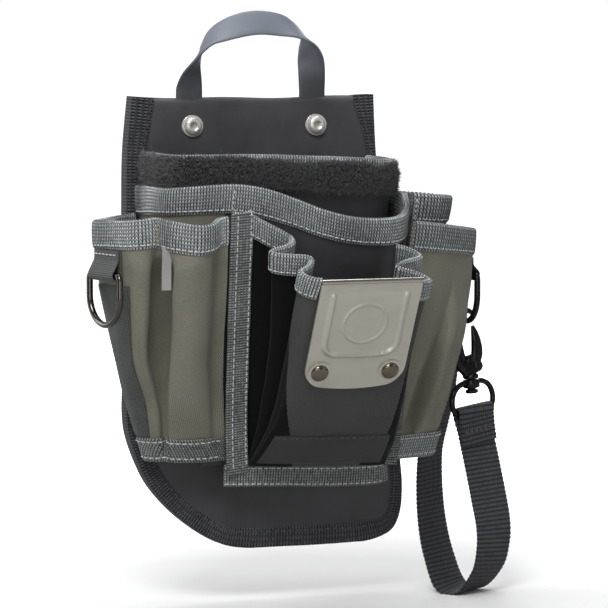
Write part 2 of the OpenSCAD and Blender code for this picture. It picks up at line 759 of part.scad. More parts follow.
panel_rear_skin();
panel_stiffener();
panel_front_skin();
panel_binding();
handle_tails();
handle_loop();
belt_clip();
clip_screws();
clip_washers();
clip_nuts();
main_pocket_wall();
main_pocket_edge_tape();
main_pocket_pile_band();
middle_pocket_left_wall();
middle_pocket_front_wall();
middle_pocket_binding();
rear_right_pocket_wall();
rear_right_binding();
left_pocket_wall();
left_pocket_binding();
left_side_tape();
left_bottom_tape();
pocket_tag();
centre_side_tape();
centre_pocket_wall();
centre_left_binding();
centre_right_binding();
toe_strip();
centre_bottom_tape();
tape_clip_plate();
tape_clip_rivets();
front_right_pocket_wall();
front_right_binding();
right_bottom_tape();
left_ring_tab();
left_d_ring();
right_ring_tab();
right_d_ring();
swivel_eye();
hook_body();
hook_gate();
gate_pin();
strap_top_loop();
strap_run();
strap_tail();
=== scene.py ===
import math
import bpy
import bmesh
import numpy as np
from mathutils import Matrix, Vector, noise


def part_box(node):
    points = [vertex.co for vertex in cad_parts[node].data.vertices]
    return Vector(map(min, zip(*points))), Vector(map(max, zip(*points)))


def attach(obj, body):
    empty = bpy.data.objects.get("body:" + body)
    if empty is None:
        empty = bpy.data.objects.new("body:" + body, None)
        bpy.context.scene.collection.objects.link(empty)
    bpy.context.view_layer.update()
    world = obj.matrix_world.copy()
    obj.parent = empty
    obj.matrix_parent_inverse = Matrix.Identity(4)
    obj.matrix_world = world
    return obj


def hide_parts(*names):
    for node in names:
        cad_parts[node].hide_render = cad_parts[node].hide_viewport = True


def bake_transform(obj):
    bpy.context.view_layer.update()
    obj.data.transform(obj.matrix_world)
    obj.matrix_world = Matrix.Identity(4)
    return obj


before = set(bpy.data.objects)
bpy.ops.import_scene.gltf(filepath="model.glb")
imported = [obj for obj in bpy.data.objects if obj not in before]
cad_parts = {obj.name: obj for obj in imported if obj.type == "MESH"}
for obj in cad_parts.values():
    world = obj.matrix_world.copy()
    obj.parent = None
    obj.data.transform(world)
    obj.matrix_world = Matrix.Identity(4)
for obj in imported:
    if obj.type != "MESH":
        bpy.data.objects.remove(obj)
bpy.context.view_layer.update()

# ---- the panel's own frame, in mm: x from its middle, y from its rear face, z from its bottom ----
MM = 0.001
PANEL_H = 232.0
clip_lo, clip_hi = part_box("belt_clip")
skin_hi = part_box("panel_rear_skin")[1]
ORIGIN = np.array([(clip_lo.x + clip_hi.x) / 2 - MM, skin_hi.y, skin_hi.z - PANEL_H * MM])
rng = np.random.default_rng(7)


def place(p):
    """Panel-frame mm to row-frame metres."""
    return ORIGIN + np.asarray(p, float) * MM


# ---- node graphs ----
class Val:
    """One value in a node graph, with arithmetic."""

    def __init__(self, g, sock):
        self.g, self.s = g, sock

    def __add__(self, o): return self.g.math("ADD", self, o)
    def __radd__(self, o): return self.g.math("ADD", o, self)
    def __sub__(self, o): return self.g.math("SUBTRACT", self, o)
    def __rsub__(self, o): return self.g.math("SUBTRACT", o, self)
    def __mul__(self, o): return self.g.math("MULTIPLY", self, o)
    def __rmul__(self, o): return self.g.math("MULTIPLY", o, self)
    def __truediv__(self, o): return self.g.math("DIVIDE", self, o)
    def frac(self): return self.g.math("FRACT", self)
    def floor(self): return self.g.math("FLOOR", self)
    def abs(self): return self.g.math("ABSOLUTE", self)
    def sin(self): return self.g.math("SINE", self)
    def pow(self, e): return self.g.math("POWER", self, e)


class Graph:
    def __init__(self, name):
        self.mat = bpy.data.materials.new(name)
        self.mat.use_nodes = True
        self.t = self.mat.node_tree
        self.t.nodes.clear()
        out = self.t.nodes.new("ShaderNodeOutputMaterial")
        self.bsdf = self.t.nodes.new("ShaderNodeBsdfPrincipled")
        self.t.links.new(self.bsdf.outputs[0], out.inputs[0])

    def put(self, sock, v):
        if isinstance(v, Val):
            self.t.links.new(v.s, sock)
        else:
            sock.default_value = v

    def math(self, op, a, b=None, clamp=False):
        n = self.t.nodes.new("ShaderNodeMath")
        n.operation = op
        n.use_clamp = clamp
        self.put(n.inputs[0], a)
        if b is not None:
            self.put(n.inputs[1], b)
        return Val(self, n.outputs[0])

    def clamp(self, a):
        return self.math("ADD", a, 0.0, clamp=True)

    def uv(self):
        m = self.t.nodes.new("ShaderNodeUVMap")
        m.uv_map = "cloth"
        s = self.t.nodes.new("ShaderNodeSeparateXYZ")
        self.t.links.new(m.outputs[0], s.inputs[0])
        return Val(self, s.outputs[0]), Val(self, s.outputs[1])

    def pos(self):
        """Object coordinates in mm, which are the row frame's."""
        c = self.t.nodes.new("ShaderNodeTexCoord")
        s = self.t.nodes.new("ShaderNodeSeparateXYZ")
        self.t.links.new(c.outputs["Object"], s.inputs[0])
        return tuple(Val(self, s.outputs[i]) * 1000.0 for i in range(3))

    def noise(self, xyz, scale, detail=2.0, rough=0.5):
        n = self.t.nodes.new("ShaderNodeTexNoise")
        n.inputs["Scale"].default_value = scale
        n.inputs["Detail"].default_value = detail
        n.inputs["Roughness"].default_value = rough
        c = self.t.nodes.new("ShaderNodeCombineXYZ")
        for i, v in enumerate(xyz):
            self.put(c.inputs[i], v)
        self.t.links.new(c.outputs[0], n.inputs["Vector"])
        return Val(self, n.outputs[0])

    def mix(self, f, a, b):
        n = self.t.nodes.new("ShaderNodeMix")
        n.data_type = "RGBA"
        n.clamp_factor = True
        self.put(n.inputs[0], f)
        for i, c in ((6, a), (7, b)):
            self.put(n.inputs[i], c if isinstance(c, Val) else (*c, 1.0))
        return Val(self, n.outputs[2])

    def bump(self, height, dist_mm, strength=1.0):
        n = self.t.nodes.new("ShaderNodeBump")
        n.inputs["Strength"].default_value = strength
        n.inputs["Distance"].default_value = dist_mm * MM
        self.put(n.inputs["Height"], height)
        self.t.links.new(n.outputs[0], self.bsdf.inputs["Normal"])

    def finish(self, color, rough, metallic=0.0, spec=0.5, sheen=0.0, coat=0.0):
        b = self.bsdf.inputs
        self.put(b["Base Color"], color if isinstance(color, Val) else (*color, 1.0))
        self.put(b["Roughness"], rough)
        b["Metallic"].default_value = metallic
        b["Specular IOR Level"].default_value = spec
        b["Sheen Weight"].default_value = sheen
        b["Coat Weight"].default_value = coat
        return self.mat


def lin(r, g, b):
    """Display colour 0-255 to linear."""
    return tuple((c / 255 / 12.92) if c < 10.3 else ((c / 255 + 0.055) / 1.055) ** 2.4 for c in (r, g, b))


TAU = 2 * math.pi


def webbing(name, dark, light, rib=1.35, pick=1.2, depth=0.22, heather=0.6, sheen=0.1, rough=0.72,
            slant=0.95):
    """Woven tape: ribs across its length, each a stack of small slanted yarns; its colour paints shade in
    the gaps and highlights on the yarn crowns.
    """
    g = Graph(name)
    u, v = g.uv()
    x = u / rib
    edge = ((x.frac() - 0.5).abs() * 2.0)
    row = v / pick + edge * slant
    yarn = (row.frac() * math.pi).sin()
    body = 1.0 - edge.pow(3.5)
    height = body * (0.3 + yarn * 0.7)
    cell = g.noise((x.floor(), row.floor(), 0.0), 0.83, 1.0)
    slow = g.noise((u, v, 0.0), 0.07, 2.0)
    # painted shade and highlight: colour follows the weave's height, dark in the gaps between ribs and
    # bright on each yarn's crown, varied at random by yarn and by slow mottle
    tone = height.pow(2.3) * (1.0 + (cell - 0.5) * heather * 2.4) * (0.7 + slow * 0.6)
    g.bump(height, depth)
    return g.finish(g.mix(tone, dark, light), rough, sheen=sheen, spec=0.35)


def twill(name, dark, light, period=1.05, depth=0.1, sheen=0.15, mottle=0.35, rough=0.88):
    """Canvas: slanted ridges of short threads."""
    g = Graph(name)
    u, v = g.uv()
    ridge = (((u + v * 0.9) / period).frac() * math.pi).sin()
    thread = (((u - v * 1.3) / (period * 0.55)).frac() * math.pi).sin()
    height = ridge * 0.65 + thread * ridge * 0.35
    fine = g.noise((u * 0.5, v, 0.0), 1.3, 2.0)
    slow = g.noise((u, v, 3.0), 0.035, 3.0)
    # partly painted shade and highlight: colour follows the ridges' height, dark in the grooves and light
    # on the ridges; the fine noise and slow mottle are random tone
    tone = height * 0.45 + fine * 0.3 + 0.12 + (slow - 0.5) * mottle
    g.bump(height, depth)
    return g.finish(g.mix(tone, dark, light), rough, sheen=sheen, spec=0.25)


def satin(name, dark, light, rough=0.46, grain=0.03, rise=None, spec=0.45):
    """Rubber-coated cloth: fine grain, soft sheen, faint scuffs. With rise, painted light: paler going up
    between two heights, as if lit from above.
    """
    g = Graph(name)
    x, y, z = g.pos()
    fine = g.noise((x, y, z), 1.6, 3.0, 0.6)
    broad = g.noise((x, y, z), 0.03, 3.0)
    scuff = g.noise((x * 0.3, y, z * 0.12), 0.16, 4.0, 0.7)
    g.bump(fine * 0.5 + broad * 7.0, grain * 6)
    tone = broad * 0.8 + (scuff - 0.45) * 0.5
    if rise:
        # painted light: the colour turns paler going up, standing in for light from above
        tone = tone * 0.35 + g.clamp((z - rise[0]) / (rise[1] - rise[0])) * 0.85
    return g.finish(g.mix(tone, dark, light), rough - 0.08 + scuff * 0.16, spec=spec, sheen=0.05)


def metal(name, dark, light, rough=0.3, brush=(0.08, 1.0, 1.0), wear=0.2, bump=0.006, metallic=1.0):
    g = Graph(name)
    x, y, z = g.pos()
    lines = g.noise((x * brush[0], y * brush[1], z * brush[2]), 1.4, 3.0, 0.65)
    cloud = g.noise((x, y, z), 0.09, 3.0)
    g.bump(lines, bump)
    return g.finish(g.mix(cloud * 0.7 + lines * 0.3, dark, light), rough + (lines - 0.5) * wear,
                    metallic=metallic)


M = {
    "grey_webbing": webbing("grey_webbing", lin(16, 18, 19), lin(210, 216, 217), rib=1.4, pick=1.75,
                            depth=0.4, heather=0.6),
    "grey_wide_webbing": webbing("grey_wide_webbing", lin(16, 18, 19), lin(198, 205, 206), rib=2.1,
                                 pick=1.9, depth=0.45, heather=0.6),
    "grey_flat_webbing": webbing("grey_flat_webbing", lin(15, 17, 17), lin(178, 182, 180), rib=1.4,
                                 pick=1.5, depth=0.4, heather=0.8),
    "grey_plain_tape": webbing("grey_plain_tape", lin(36, 38, 38), lin(112, 115, 113), rib=0.9, pick=0.8,
                               depth=0.12, heather=0.5),
    "black_webbing": webbing("black_webbing", lin(6, 6, 7), lin(96, 97, 102), rib=1.6, pick=2.1,
                             heather=0.6, depth=0.4),
    "strap_webbing": webbing("strap_webbing", lin(5, 5, 6), lin(88, 90, 97), rib=2.3, pick=1.3,
                             heather=0.6, depth=0.5, rough=0.55, slant=0.5),
    "olive_canvas": twill("olive_canvas", lin(44, 44, 36), lin(168, 166, 149)),
    "black_nylon": twill("black_nylon", lin(28, 29, 29), lin(94, 95, 93), period=0.9, sheen=0.05,
                         mottle=0.25, rough=0.75),
    "gusset": satin("gusset_cloth", lin(4, 4, 5), lin(14, 14, 15), rough=0.8, spec=0.15),
    "black_satin": satin("black_satin", lin(40, 40, 42), lin(82, 82, 85)),
    "toe_satin": satin("toe_satin", lin(34, 34, 35), lin(66, 66, 66), rough=0.6),
    # the handle's top is painted paler than its legs: painted light from above
    "rubber_strap": satin("rubber_strap", lin(50, 52, 56), lin(112, 118, 129), rough=0.5, grain=0.012,
                          rise=(52, 74)),
    "screw_steel": metal("screw_steel", lin(196, 193, 186), lin(232, 229, 222), rough=0.3, metallic=0.5),
    "bright_steel": metal("bright_steel", lin(170, 166, 158), lin(222, 218, 210), rough=0.2),
    "satin_nickel": metal("satin_nickel", lin(188, 185, 173), lin(216, 212, 200), rough=0.32, bump=0.008,
                          metallic=0.6),
    "gunmetal": metal("gunmetal", lin(70, 68, 66), lin(112, 109, 106), rough=0.2, brush=(1, 1, 1),
                      bump=0.01),
    "gloss_black": metal("gloss_black", lin(16, 16, 17), lin(44, 44, 46), rough=0.16, brush=(1, 1, 1),
                         bump=0.008, metallic=0.6),
    "board": satin("board", lin(40, 40, 40), lin(60, 60, 60), rough=0.8),
    "tag": twill("tag_weave", lin(120, 116, 116), lin(196, 190, 188), period=0.7, depth=0.05, mottle=0.1),
}


def thread_material(name, dark, light):
    g = Graph(name)
    x, y, z = g.pos()
    ply = (((x + y + z) / 0.45).frac() * math.pi).sin()
    g.bump(ply, 0.05)
    # painted highlight: colour follows the ply twist, light on each ply's crown and dark between, with
    # random noise
    return g.finish(g.mix(ply * 0.7 + g.noise((x, y, z), 0.4) * 0.5, dark, light), 0.6, spec=0.4,
                    sheen=0.2)


M["light_thread"] = thread_material("light_thread", lin(128, 132, 132), lin(232, 236, 236))
M["black_thread"] = thread_material("black_thread", lin(8, 8, 9), lin(84, 84, 90))
M["olive_thread"] = thread_material("olive_thread", lin(96, 96, 44), lin(178, 176, 96))


# ---- curves and surfaces ----
def spline(P, t):
    """Catmull-Rom through the first axis of P at parameters t in 0..len(P)-1."""
    P = np.asarray(P, float)
    k = len(P)
    t = np.clip(np.asarray(t, float), 0, k - 1)
    i = np.minimum(t.astype(int), k - 2)
    f = (t - i).reshape((-1,) + (1,) * (P.ndim - 1))
    a, b, c, d = P[np.maximum(i - 1, 0)], P[i], P[i + 1], P[np.minimum(i + 2, k - 1)]
    return 0.5 * (2 * b + (c - a) * f + (2 * a - 5 * b + 4 * c - d) * f ** 2 + (3 * b - a - 3 * c + d)
                  * f ** 3)


def lengths(L):
    """Distance along a polyline at each of its points."""
    return np.concatenate([[0], np.cumsum(np.linalg.norm(np.diff(L, axis=0), axis=1))])


def even(P, n, dense=24):
    """Catmull-Rom curve resampled to n evenly spaced points."""
    t = np.linspace(0, len(P) - 1, (len(P) - 1) * dense + 1)
    L = spline(P, t)
    s = lengths(L)
    return spline(P, np.interp(np.linspace(0, s[-1], n), s, t))


def surf(rows, nu, nv, dense=12):
    """Surface through rows of matched control points: (nv, nu, 3), evenly spaced on average."""
    R = np.asarray(rows, float)
    m, k = R.shape[:2]
    t = np.linspace(0, k - 1, (k - 1) * dense + 1)
    D = np.stack([spline(r, t) for r in R])
    s = np.mean([lengths(r) for r in D], axis=0)
    tu = np.interp(np.linspace(0, s[-1], nu), s, t)
    E = np.stack([spline(r, tu) for r in R])
    if m == 2:
        w = np.linspace(0, 1, nv)[:, None, None]
        return E[0] * (1 - w) + E[1] * w
    q = np.linspace(0, m - 1, (m - 1) * dense + 1)
    F = spline(E, q)
    sq = np.mean([lengths(F[:, j]) for j in range(0, nu, max(1, nu // 12))], axis=0)
    return spline(E, np.interp(np.linspace(0, sq[-1], nv), sq, q))


def unit(a):
    return a / np.maximum(np.linalg.norm(a, axis=-1, keepdims=True), 1e-9)


def normals(G):
    """Outward normals of a surface whose columns run left to right and rows run down."""
    return unit(np.cross(np.gradient(G, axis=0), np.gradient(G, axis=1)))


def surface_uv(G):
    """Physical u and v in mm at each grid point."""
    du = np.linalg.norm(np.diff(G, axis=1), axis=2)
    u = np.concatenate([np.zeros((len(G), 1)), np.cumsum(du, axis=1)], axis=1)
    u = u - u[:, [G.shape[1] // 2]]
    v = np.concatenate([[0], np.cumsum(np.linalg.norm(np.diff(G, axis=0), axis=2).mean(axis=1))])
    return np.stack([u, np.broadcast_to(v[:, None], u.shape)], axis=2)


def wobble(G, amount, scale, seed=0.0):
    """Smooth noise, one number for each grid point."""
    flat = G.reshape(-1, 3) / scale
    w = np.array([noise.noise(Vector((p[0] + seed, p[1], p[2] - seed))) for p in flat])
    return (w * amount).reshape(G.shape[:2])


# ---- meshes ----
class Build:
    """Collects grids into one mesh."""

    def __init__(self):
        self.v, self.f, self.uv, self.count = [], [], [], 0

    def grid(self, G, uv=None, flip=False, wrap=False):
        """Quads over G (a, b, 3). With wrap, the second axis closes."""
        a, b = G.shape[:2]
        if uv is None:
            uv = surface_uv(G)
        base = self.count
        self.v.append(G.reshape(-1, 3))
        self.count += a * b
        cols = b if wrap else b - 1
        for i in range(a - 1):
            for j in range(cols):
                k = (j + 1) % b
                quad = [(i, j), (i + 1, j), (i + 1, k), (i, k)]
                if flip:
                    quad.reverse()
                self.f.append([base + r * b + c for r, c in quad])
                for r, c in quad:
                    w = uv[r, c].copy()
                    if wrap and k == 0 and c == 0:
                        w[1] = uv[r, b - 1][1] + np.linalg.norm(G[r, 0] - G[r, b - 1])
                    self.uv.append(w)

    def fan(self, ring, flip=False):
        """A flat cap over a ring of points."""
        base = self.count
        c = ring.mean(axis=0)
        self.v.append(np.vstack([ring, c[None]]))
        n = len(ring)
        self.count += n + 1
        for j in range(n):
            tri = [base + j, base + (j + 1) % n, base + n]
            if flip:
                tri.reverse()
            self.f.append(tri)
            for i in tri:
                p = (ring[i - base] if i - base < n else c)
                self.uv.append(np.array([p[0], p[2]]))

    def sheet(self, G, inner, outer, N=None, uv=None):
        """Closed thick sheet about surface G."""
        N = normals(G) if N is None else N
        uv = surface_uv(G) if uv is None else uv
        A, B = G + N * np.asarray(outer)[..., None], G + N * np.asarray(inner)[..., None]
        self.shell(A, B, uv)

    def shell(self, A, B, uv):
        """Two matching grids, closed along their four edges."""
        self.grid(A, uv)
        self.grid(B, uv, flip=True)
        for p, q, w, rev in ((A[0], B[0], uv[0], True), (A[-1], B[-1], uv[-1], False),
                             (A[:, 0], B[:, 0], uv[:, 0], False), (A[:, -1], B[:, -1], uv[:, -1], True)):
            self.grid(np.stack([p, q]), np.stack([w, w + 0.6]), flip=rev)

    def loft(self, S, u=None, caps=True):
        """Closed solid through cross-sections S (n, m, 3)."""
        n, m = S.shape[:2]
        if u is None:
            u = lengths(S.mean(axis=1))
        around = np.linalg.norm(np.diff(S, axis=1), axis=2).mean(axis=0)
        v = np.concatenate([[0], np.cumsum(around)])
        uv = np.stack(np.broadcast_arrays(u[:, None], v[None, :]), axis=2)
        self.grid(S, uv, wrap=True)
        if caps:
            self.fan(S[0], flip=True)
            self.fan(S[-1])

    def done(self, name, mat, body="pouch", stands_for=(), sharp=50, weld=0.004, ride=True):
        me = bpy.data.meshes.new(name)
        me.from_pydata([tuple(p) for p in place(np.vstack(self.v))], [], self.f)
        layer = me.uv_layers.new(name="cloth")
        layer.data.foreach_set("uv", np.array(self.uv, np.float32).ravel())
        bm = bmesh.new()
        bm.from_mesh(me)
        bmesh.ops.remove_doubles(bm, verts=bm.verts, dist=weld * MM)
        bmesh.ops.dissolve_degenerate(bm, edges=bm.edges, dist=1e-7)
        bmesh.ops.recalc_face_normals(bm, faces=bm.faces)
        bm.to_mesh(me)
        bm.free()
        me.polygons.foreach_set("use_smooth", [True] * len(me.polygons))
        me.set_sharp_from_angle(angle=math.radians(sharp))
        me.materials.append(M[mat] if isinstance(mat, str) else mat)
        o = bpy.data.objects.new(name, me)
        bpy.context.scene.collection.objects.link(o)
        if ride:
            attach(o, body)
        if stands_for:
            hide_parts(*stands_for)
        return o


# ---- sewn parts ----
def column_at(G, N, d):
    """Point and normal at depth d (mm) below the top of every column; d is one number or one a column."""
    s = np.concatenate([np.zeros((1, G.shape[1])),
                        np.cumsum(np.linalg.norm(np.diff(G, axis=0), axis=2), axis=0)])
    d = np.broadcast_to(d, (G.shape[1],))
    P, Q = np.empty((G.shape[1], 3)), np.empty((G.shape[1], 3))
    for j in range(G.shape[1]):
        for k in range(3):
            P[j, k] = np.interp(d[j], s[:, j], G[:, j, k])
            Q[j, k] = np.interp(d[j], s[:, j], N[:, j, k])
    return P, unit(Q)


def smooth_rows(A, n):
    """Evens a run of vectors along its first axis."""
    for _ in range(n):
        A = np.concatenate([A[:1], (A[:-2] + 2 * A[1:-1] + A[2:]) / 4, A[-1:]])
    return unit(A)


def fold_uv(u, A):
    """Map in mm for a tape folded over an edge: u along it, mean run across its rows."""
    v = np.concatenate([[0], np.cumsum(np.linalg.norm(np.diff(A, axis=0), axis=2).mean(axis=1))])
    return np.stack(np.broadcast_arrays(u[None, :], v[:, None]), axis=2)


def binding(name, rows, face, stands_for=(), u0=0.0, u1=1.0, gap=0.8, t=0.95, rib=1.35,
            mat="grey_webbing", seams=(),
            amp=0.16, wave=0.5, stitch="light_thread", stitch_in=1.9, nv=60,
            lift=0.0):
    """Tape folded over the top edge of a wall, with its stitches and cross seams."""
    probe = surf(rows, 60, 8)
    total = lengths(probe[0])[-1] * (u1 - u0)
    n = int(total / rib * 5) + 1
    full = surf(rows, max(int(n / (u1 - u0)), n), nv)
    a = int(round(u0 * (full.shape[1] - 1)))
    b = int(round(u1 * (full.shape[1] - 1))) + 1
    G = full[:, a:b]
    N = normals(full)[:, a:b]
    top_n = smooth_rows(N[0], 6)
    up = unit(G[0] - G[2])
    u = lengths(G[0])
    ribs = amp * np.cos(TAU * u / rib)
    depth = face + wave * np.sin(u / 14.0 + 1.3) + 0.12 * np.cos(TAU * u / rib)
    outer, inner = [], []
    fr = np.linspace(1.0, 0.0, 10)
    for f in fr:
        P, Q = column_at(G, N, depth * f)
        Q = smooth_rows(Q, 4)
        bulge = 0.30 * math.sin(math.pi * f) - (0.45 if f == 1.0 else 0.0)
        off = gap + t + bulge + ribs * (1 if f < 1.0 else 0)
        outer.append(P + Q * off[:, None])
        inner.append(P + Q * gap)
    for th in np.linspace(0, 180, 9)[1:-1]:
        c, s = math.cos(math.radians(th)), math.sin(math.radians(th))
        r = (gap + t + ribs)[:, None]
        outer.append(G[0] + top_n * r * c + up * (r * s + lift))
        inner.append(G[0] + top_n * gap * c + up * (gap * s + lift))
    for f in fr[::-1]:
        P, Q = column_at(G, N, depth * f)
        Q = smooth_rows(Q, 4)
        off = gap + t + ribs - (0.4 if f == 1.0 else 0.0)
        outer.append(P - Q * off[:, None])
        inner.append(P - Q * gap)
    A, B = np.stack(outer), np.stack(inner)
    build = Build()
    build.shell(A, B, fold_uv(u, A))
    build.done(name, mat, stands_for=stands_for)
    P, Q = column_at(G, N, depth - stitch_in)
    if stitch:
        stitches(name + "_stitches", [(P + Q * (gap + t + 0.24), Q)], stitch)
    for k, (share, thread) in enumerate(seams):
        j = int(share * (G.shape[1] - 1))
        s = lengths(G[:, j])
        d = np.linspace(0.2, float(depth[j]) - 0.4, 20)
        line = np.stack([np.interp(d, s, G[:, j, i]) for i in range(3)], axis=1)
        face_n = unit(np.stack([np.interp(d, s, N[:, j, i]) for i in range(3)], axis=1))
        stitches(name + "_seam%d" % k, [(line + face_n * (gap + t + 0.32), face_n)], thread, long=2.0,
                 gap=0.7, r=0.36)


def stitches(name, lines, mat, long=2.4, gap=0.9, r=0.34, body="pouch", zig=0.0):
    """Rows of sewn stitches on lines of (points, normals)."""
    build = Build()
    for P, Q in lines:
        s = lengths(P)
        n = int((s[-1] - 1) / (long + gap))
        for k in range(n):
            a = 0.6 + k * (long + gap)
            ts = np.linspace(a, a + long, 6)
            pts = np.stack([np.interp(ts, s, P[:, i]) for i in range(3)], axis=1)
            nrm = unit(np.stack([np.interp(ts, s, Q[:, i]) for i in range(3)], axis=1))
            along = unit(np.gradient(pts, axis=0))
            across = unit(np.cross(nrm, along))
            f = np.linspace(0, 1, 6)
            pts = pts + nrm * (0.16 * np.sin(np.pi * f) - 0.14)[:, None] + across * (zig
                    * (f - 0.5))[:, None]
            rad = r * np.array([0.45, 0.9, 1, 1, 0.9, 0.45])
            ang = np.linspace(0, TAU, 6, endpoint=False)
            S = (pts[:, None] + across[:, None] * (rad[:, None] * np.cos(ang))[..., None]
                 + nrm[:, None] * (rad[:, None] * np.sin(ang))[..., None])
            build.loft(S)
    return build.done(name, mat, body=body, sharp=80, weld=0.0005)


def ribbon_sections(L, W, width, t, profile=14, rib=0.0, amp=0.0, scallop=0.0, round_edge=0.5):
    """Cross-sections of a flat strap along line L with width directions W. Faces the side L' x W."""
    d = unit(np.gradient(L, axis=0))
    w = unit(W - (W * d).sum(axis=1, keepdims=True) * d)
    n = np.cross(d, w)
    s = lengths(L)
    a = np.linspace(0, TAU, profile, endpoint=False) + math.pi / profile
    cx = np.sign(np.cos(a)) * np.abs(np.cos(a)) ** 0.35
    cy = np.sign(np.sin(a)) * np.abs(np.sin(a)) ** round_edge
    ripple = np.cos(TAU * s / rib) if rib else np.zeros_like(s)
    half = width / 2 + scallop * ripple
    thick = t / 2 + amp * ripple
    return (L[:, None] + w[:, None] * (half[:, None] * cx)[..., None] + n[:, None]
            * (thick[:, None] * cy)[..., None]), s, w, n


def tube_sections(L, r, sides=16, up=(0, 1, 0), flat=1.0):
    """Round cross-sections along L, squashed by flat along up."""
    d = unit(np.gradient(L, axis=0))
    n = unit(np.array(up, float) - (d @ np.array(up, float))[:, None] * d)
    w = np.cross(d, n)
    r = np.broadcast_to(r, (len(L),))
    a = np.linspace(0, TAU, sides, endpoint=False)
    return L[:, None] + w[:, None] * (r[:, None] * np.cos(a))[..., None] + n[:, None] * (flat
            * r[:, None] * np.sin(a))[..., None]


def lathe(build, at, axis, profile, sides=48, hexagon=()):
    """Turned solid: profile of (radius, distance along axis). Rings listed in hexagon are six-sided."""
    ax = unit(np.array(axis, float))
    side = unit(np.cross(ax, [0.31, 0.2, 0.93]))
    other = np.cross(ax, side)
    a = np.linspace(0, TAU, sides, endpoint=False)
    six = math.cos(math.pi / 6) / np.cos((a % (TAU / 6)) - math.pi / 6)
    rings = []
    for i, (r, h) in enumerate(profile):
        rr = r * six if i in hexagon else np.full(sides, r)
        rings.append(np.array(at) + ax * h + side * (rr * np.cos(a))[:, None] + other
                     * (rr * np.sin(a))[:, None])
    build.loft(np.stack(rings), u=np.array([h for _, h in profile], float))


# ---- panel ----
LEFT_EDGE = [(-64.4, 232), (-67, 205), (-67.6, 178), (-67.8, 130), (-67.7, 90), (-68, 72), (-65.8, 58),
             (-58.2, 39.4),
             (-49.4, 27.2), (-38.2, 16.4), (-24.8, 7), (-13, 2.2), (3.4, 0.4)]
RIGHT_EDGE = [(66.2, 232), (67.6, 203), (72, 150), (77, 100), (81.3, 46), (82.6, 30), (81.3, 15),
              (75.5, 5), (61.4, 0.8),
              (38, 0), (20, 0.1)]
PANEL_FRONT = -7.0
SCREWS = ((-32, 216.7), (34, 216.7))


def edge_curve(pts, n):
    return even([(x, 0, z) for x, z in pts], n)


left_line, right_line = edge_curve(LEFT_EDGE, 200), edge_curve(RIGHT_EDGE, 200)
outline = np.concatenate([left_line, right_line[::-1][1:]])


def panel_rows(zs, xs):
    lx = np.interp(zs, left_line[::-1, 2], left_line[::-1, 0]) + 1.6
    rx = np.interp(zs, right_line[::-1, 2], right_line[::-1, 0]) - 1.6
    f = np.linspace(0, 1, xs)
    return lx[:, None] * (1 - f) + rx[:, None] * f


def panel_front_cover():
    xs = 90
    low = 0.9 + 225.1 * (1 - np.cos(np.linspace(0, math.pi / 2, 90)))
    zs = low[::-1]
    X = panel_rows(zs, xs)
    f = np.linspace(-1, 1, xs)[None, :]
    Z = np.broadcast_to(zs[:, None], X.shape)
    body = np.stack([X, np.full_like(X, PANEL_FRONT), Z], axis=2)
    puff = 1.0 * (1 - np.abs(f) ** 5) * np.clip(Z / 14, 0, 1)
    puff = puff + wobble(body, 0.7, 38.0)
    for sx, sz in SCREWS:
        puff = puff - 1.3 * np.exp(-((X - sx) ** 2 + (Z - sz) ** 2) / 60)
    body[..., 1] -= puff * np.clip((228 - Z) / 8, 0, 1)
    roll = []
    for th in np.linspace(0, 180, 13)[1:]:
        a = math.radians(th)
        X2 = panel_rows(np.array([226.0]), xs)[0]
        sag = 0.8 * np.sin(np.linspace(0, math.pi, xs)) + 0.35 * np.sin(X2 / 9)
        roll.append(np.stack([X2, -3.5 - 3.5 * math.cos(a) + 0 * X2,
                              226.4 + (5.0 - sag * math.sin(a)) * math.sin(a)], axis=1))
    G = np.concatenate([np.stack(roll[::-1]), body])
    b = Build()
    b.sheet(G, -1.1, 0.2)
    return b.done("panel_front_cover", "black_satin", stands_for=("panel_front_skin",))


def panel_rear_cover():
    zs = (0.9 + 224.5 * (1 - np.cos(np.linspace(0, math.pi / 2, 70))))[::-1]
    X = panel_rows(zs, 70)
    Z = np.broadcast_to(zs[:, None], X.shape)
    G = np.stack([X, np.full_like(X, -0.7), Z], axis=2)
    b = Build()
    b.sheet(G, -0.55, 0.55, N=np.broadcast_to(np.array([0, -1.0, 0]), G.shape))
    b.done("panel_rear_cover", "black_nylon", stands_for=("panel_rear_skin",))


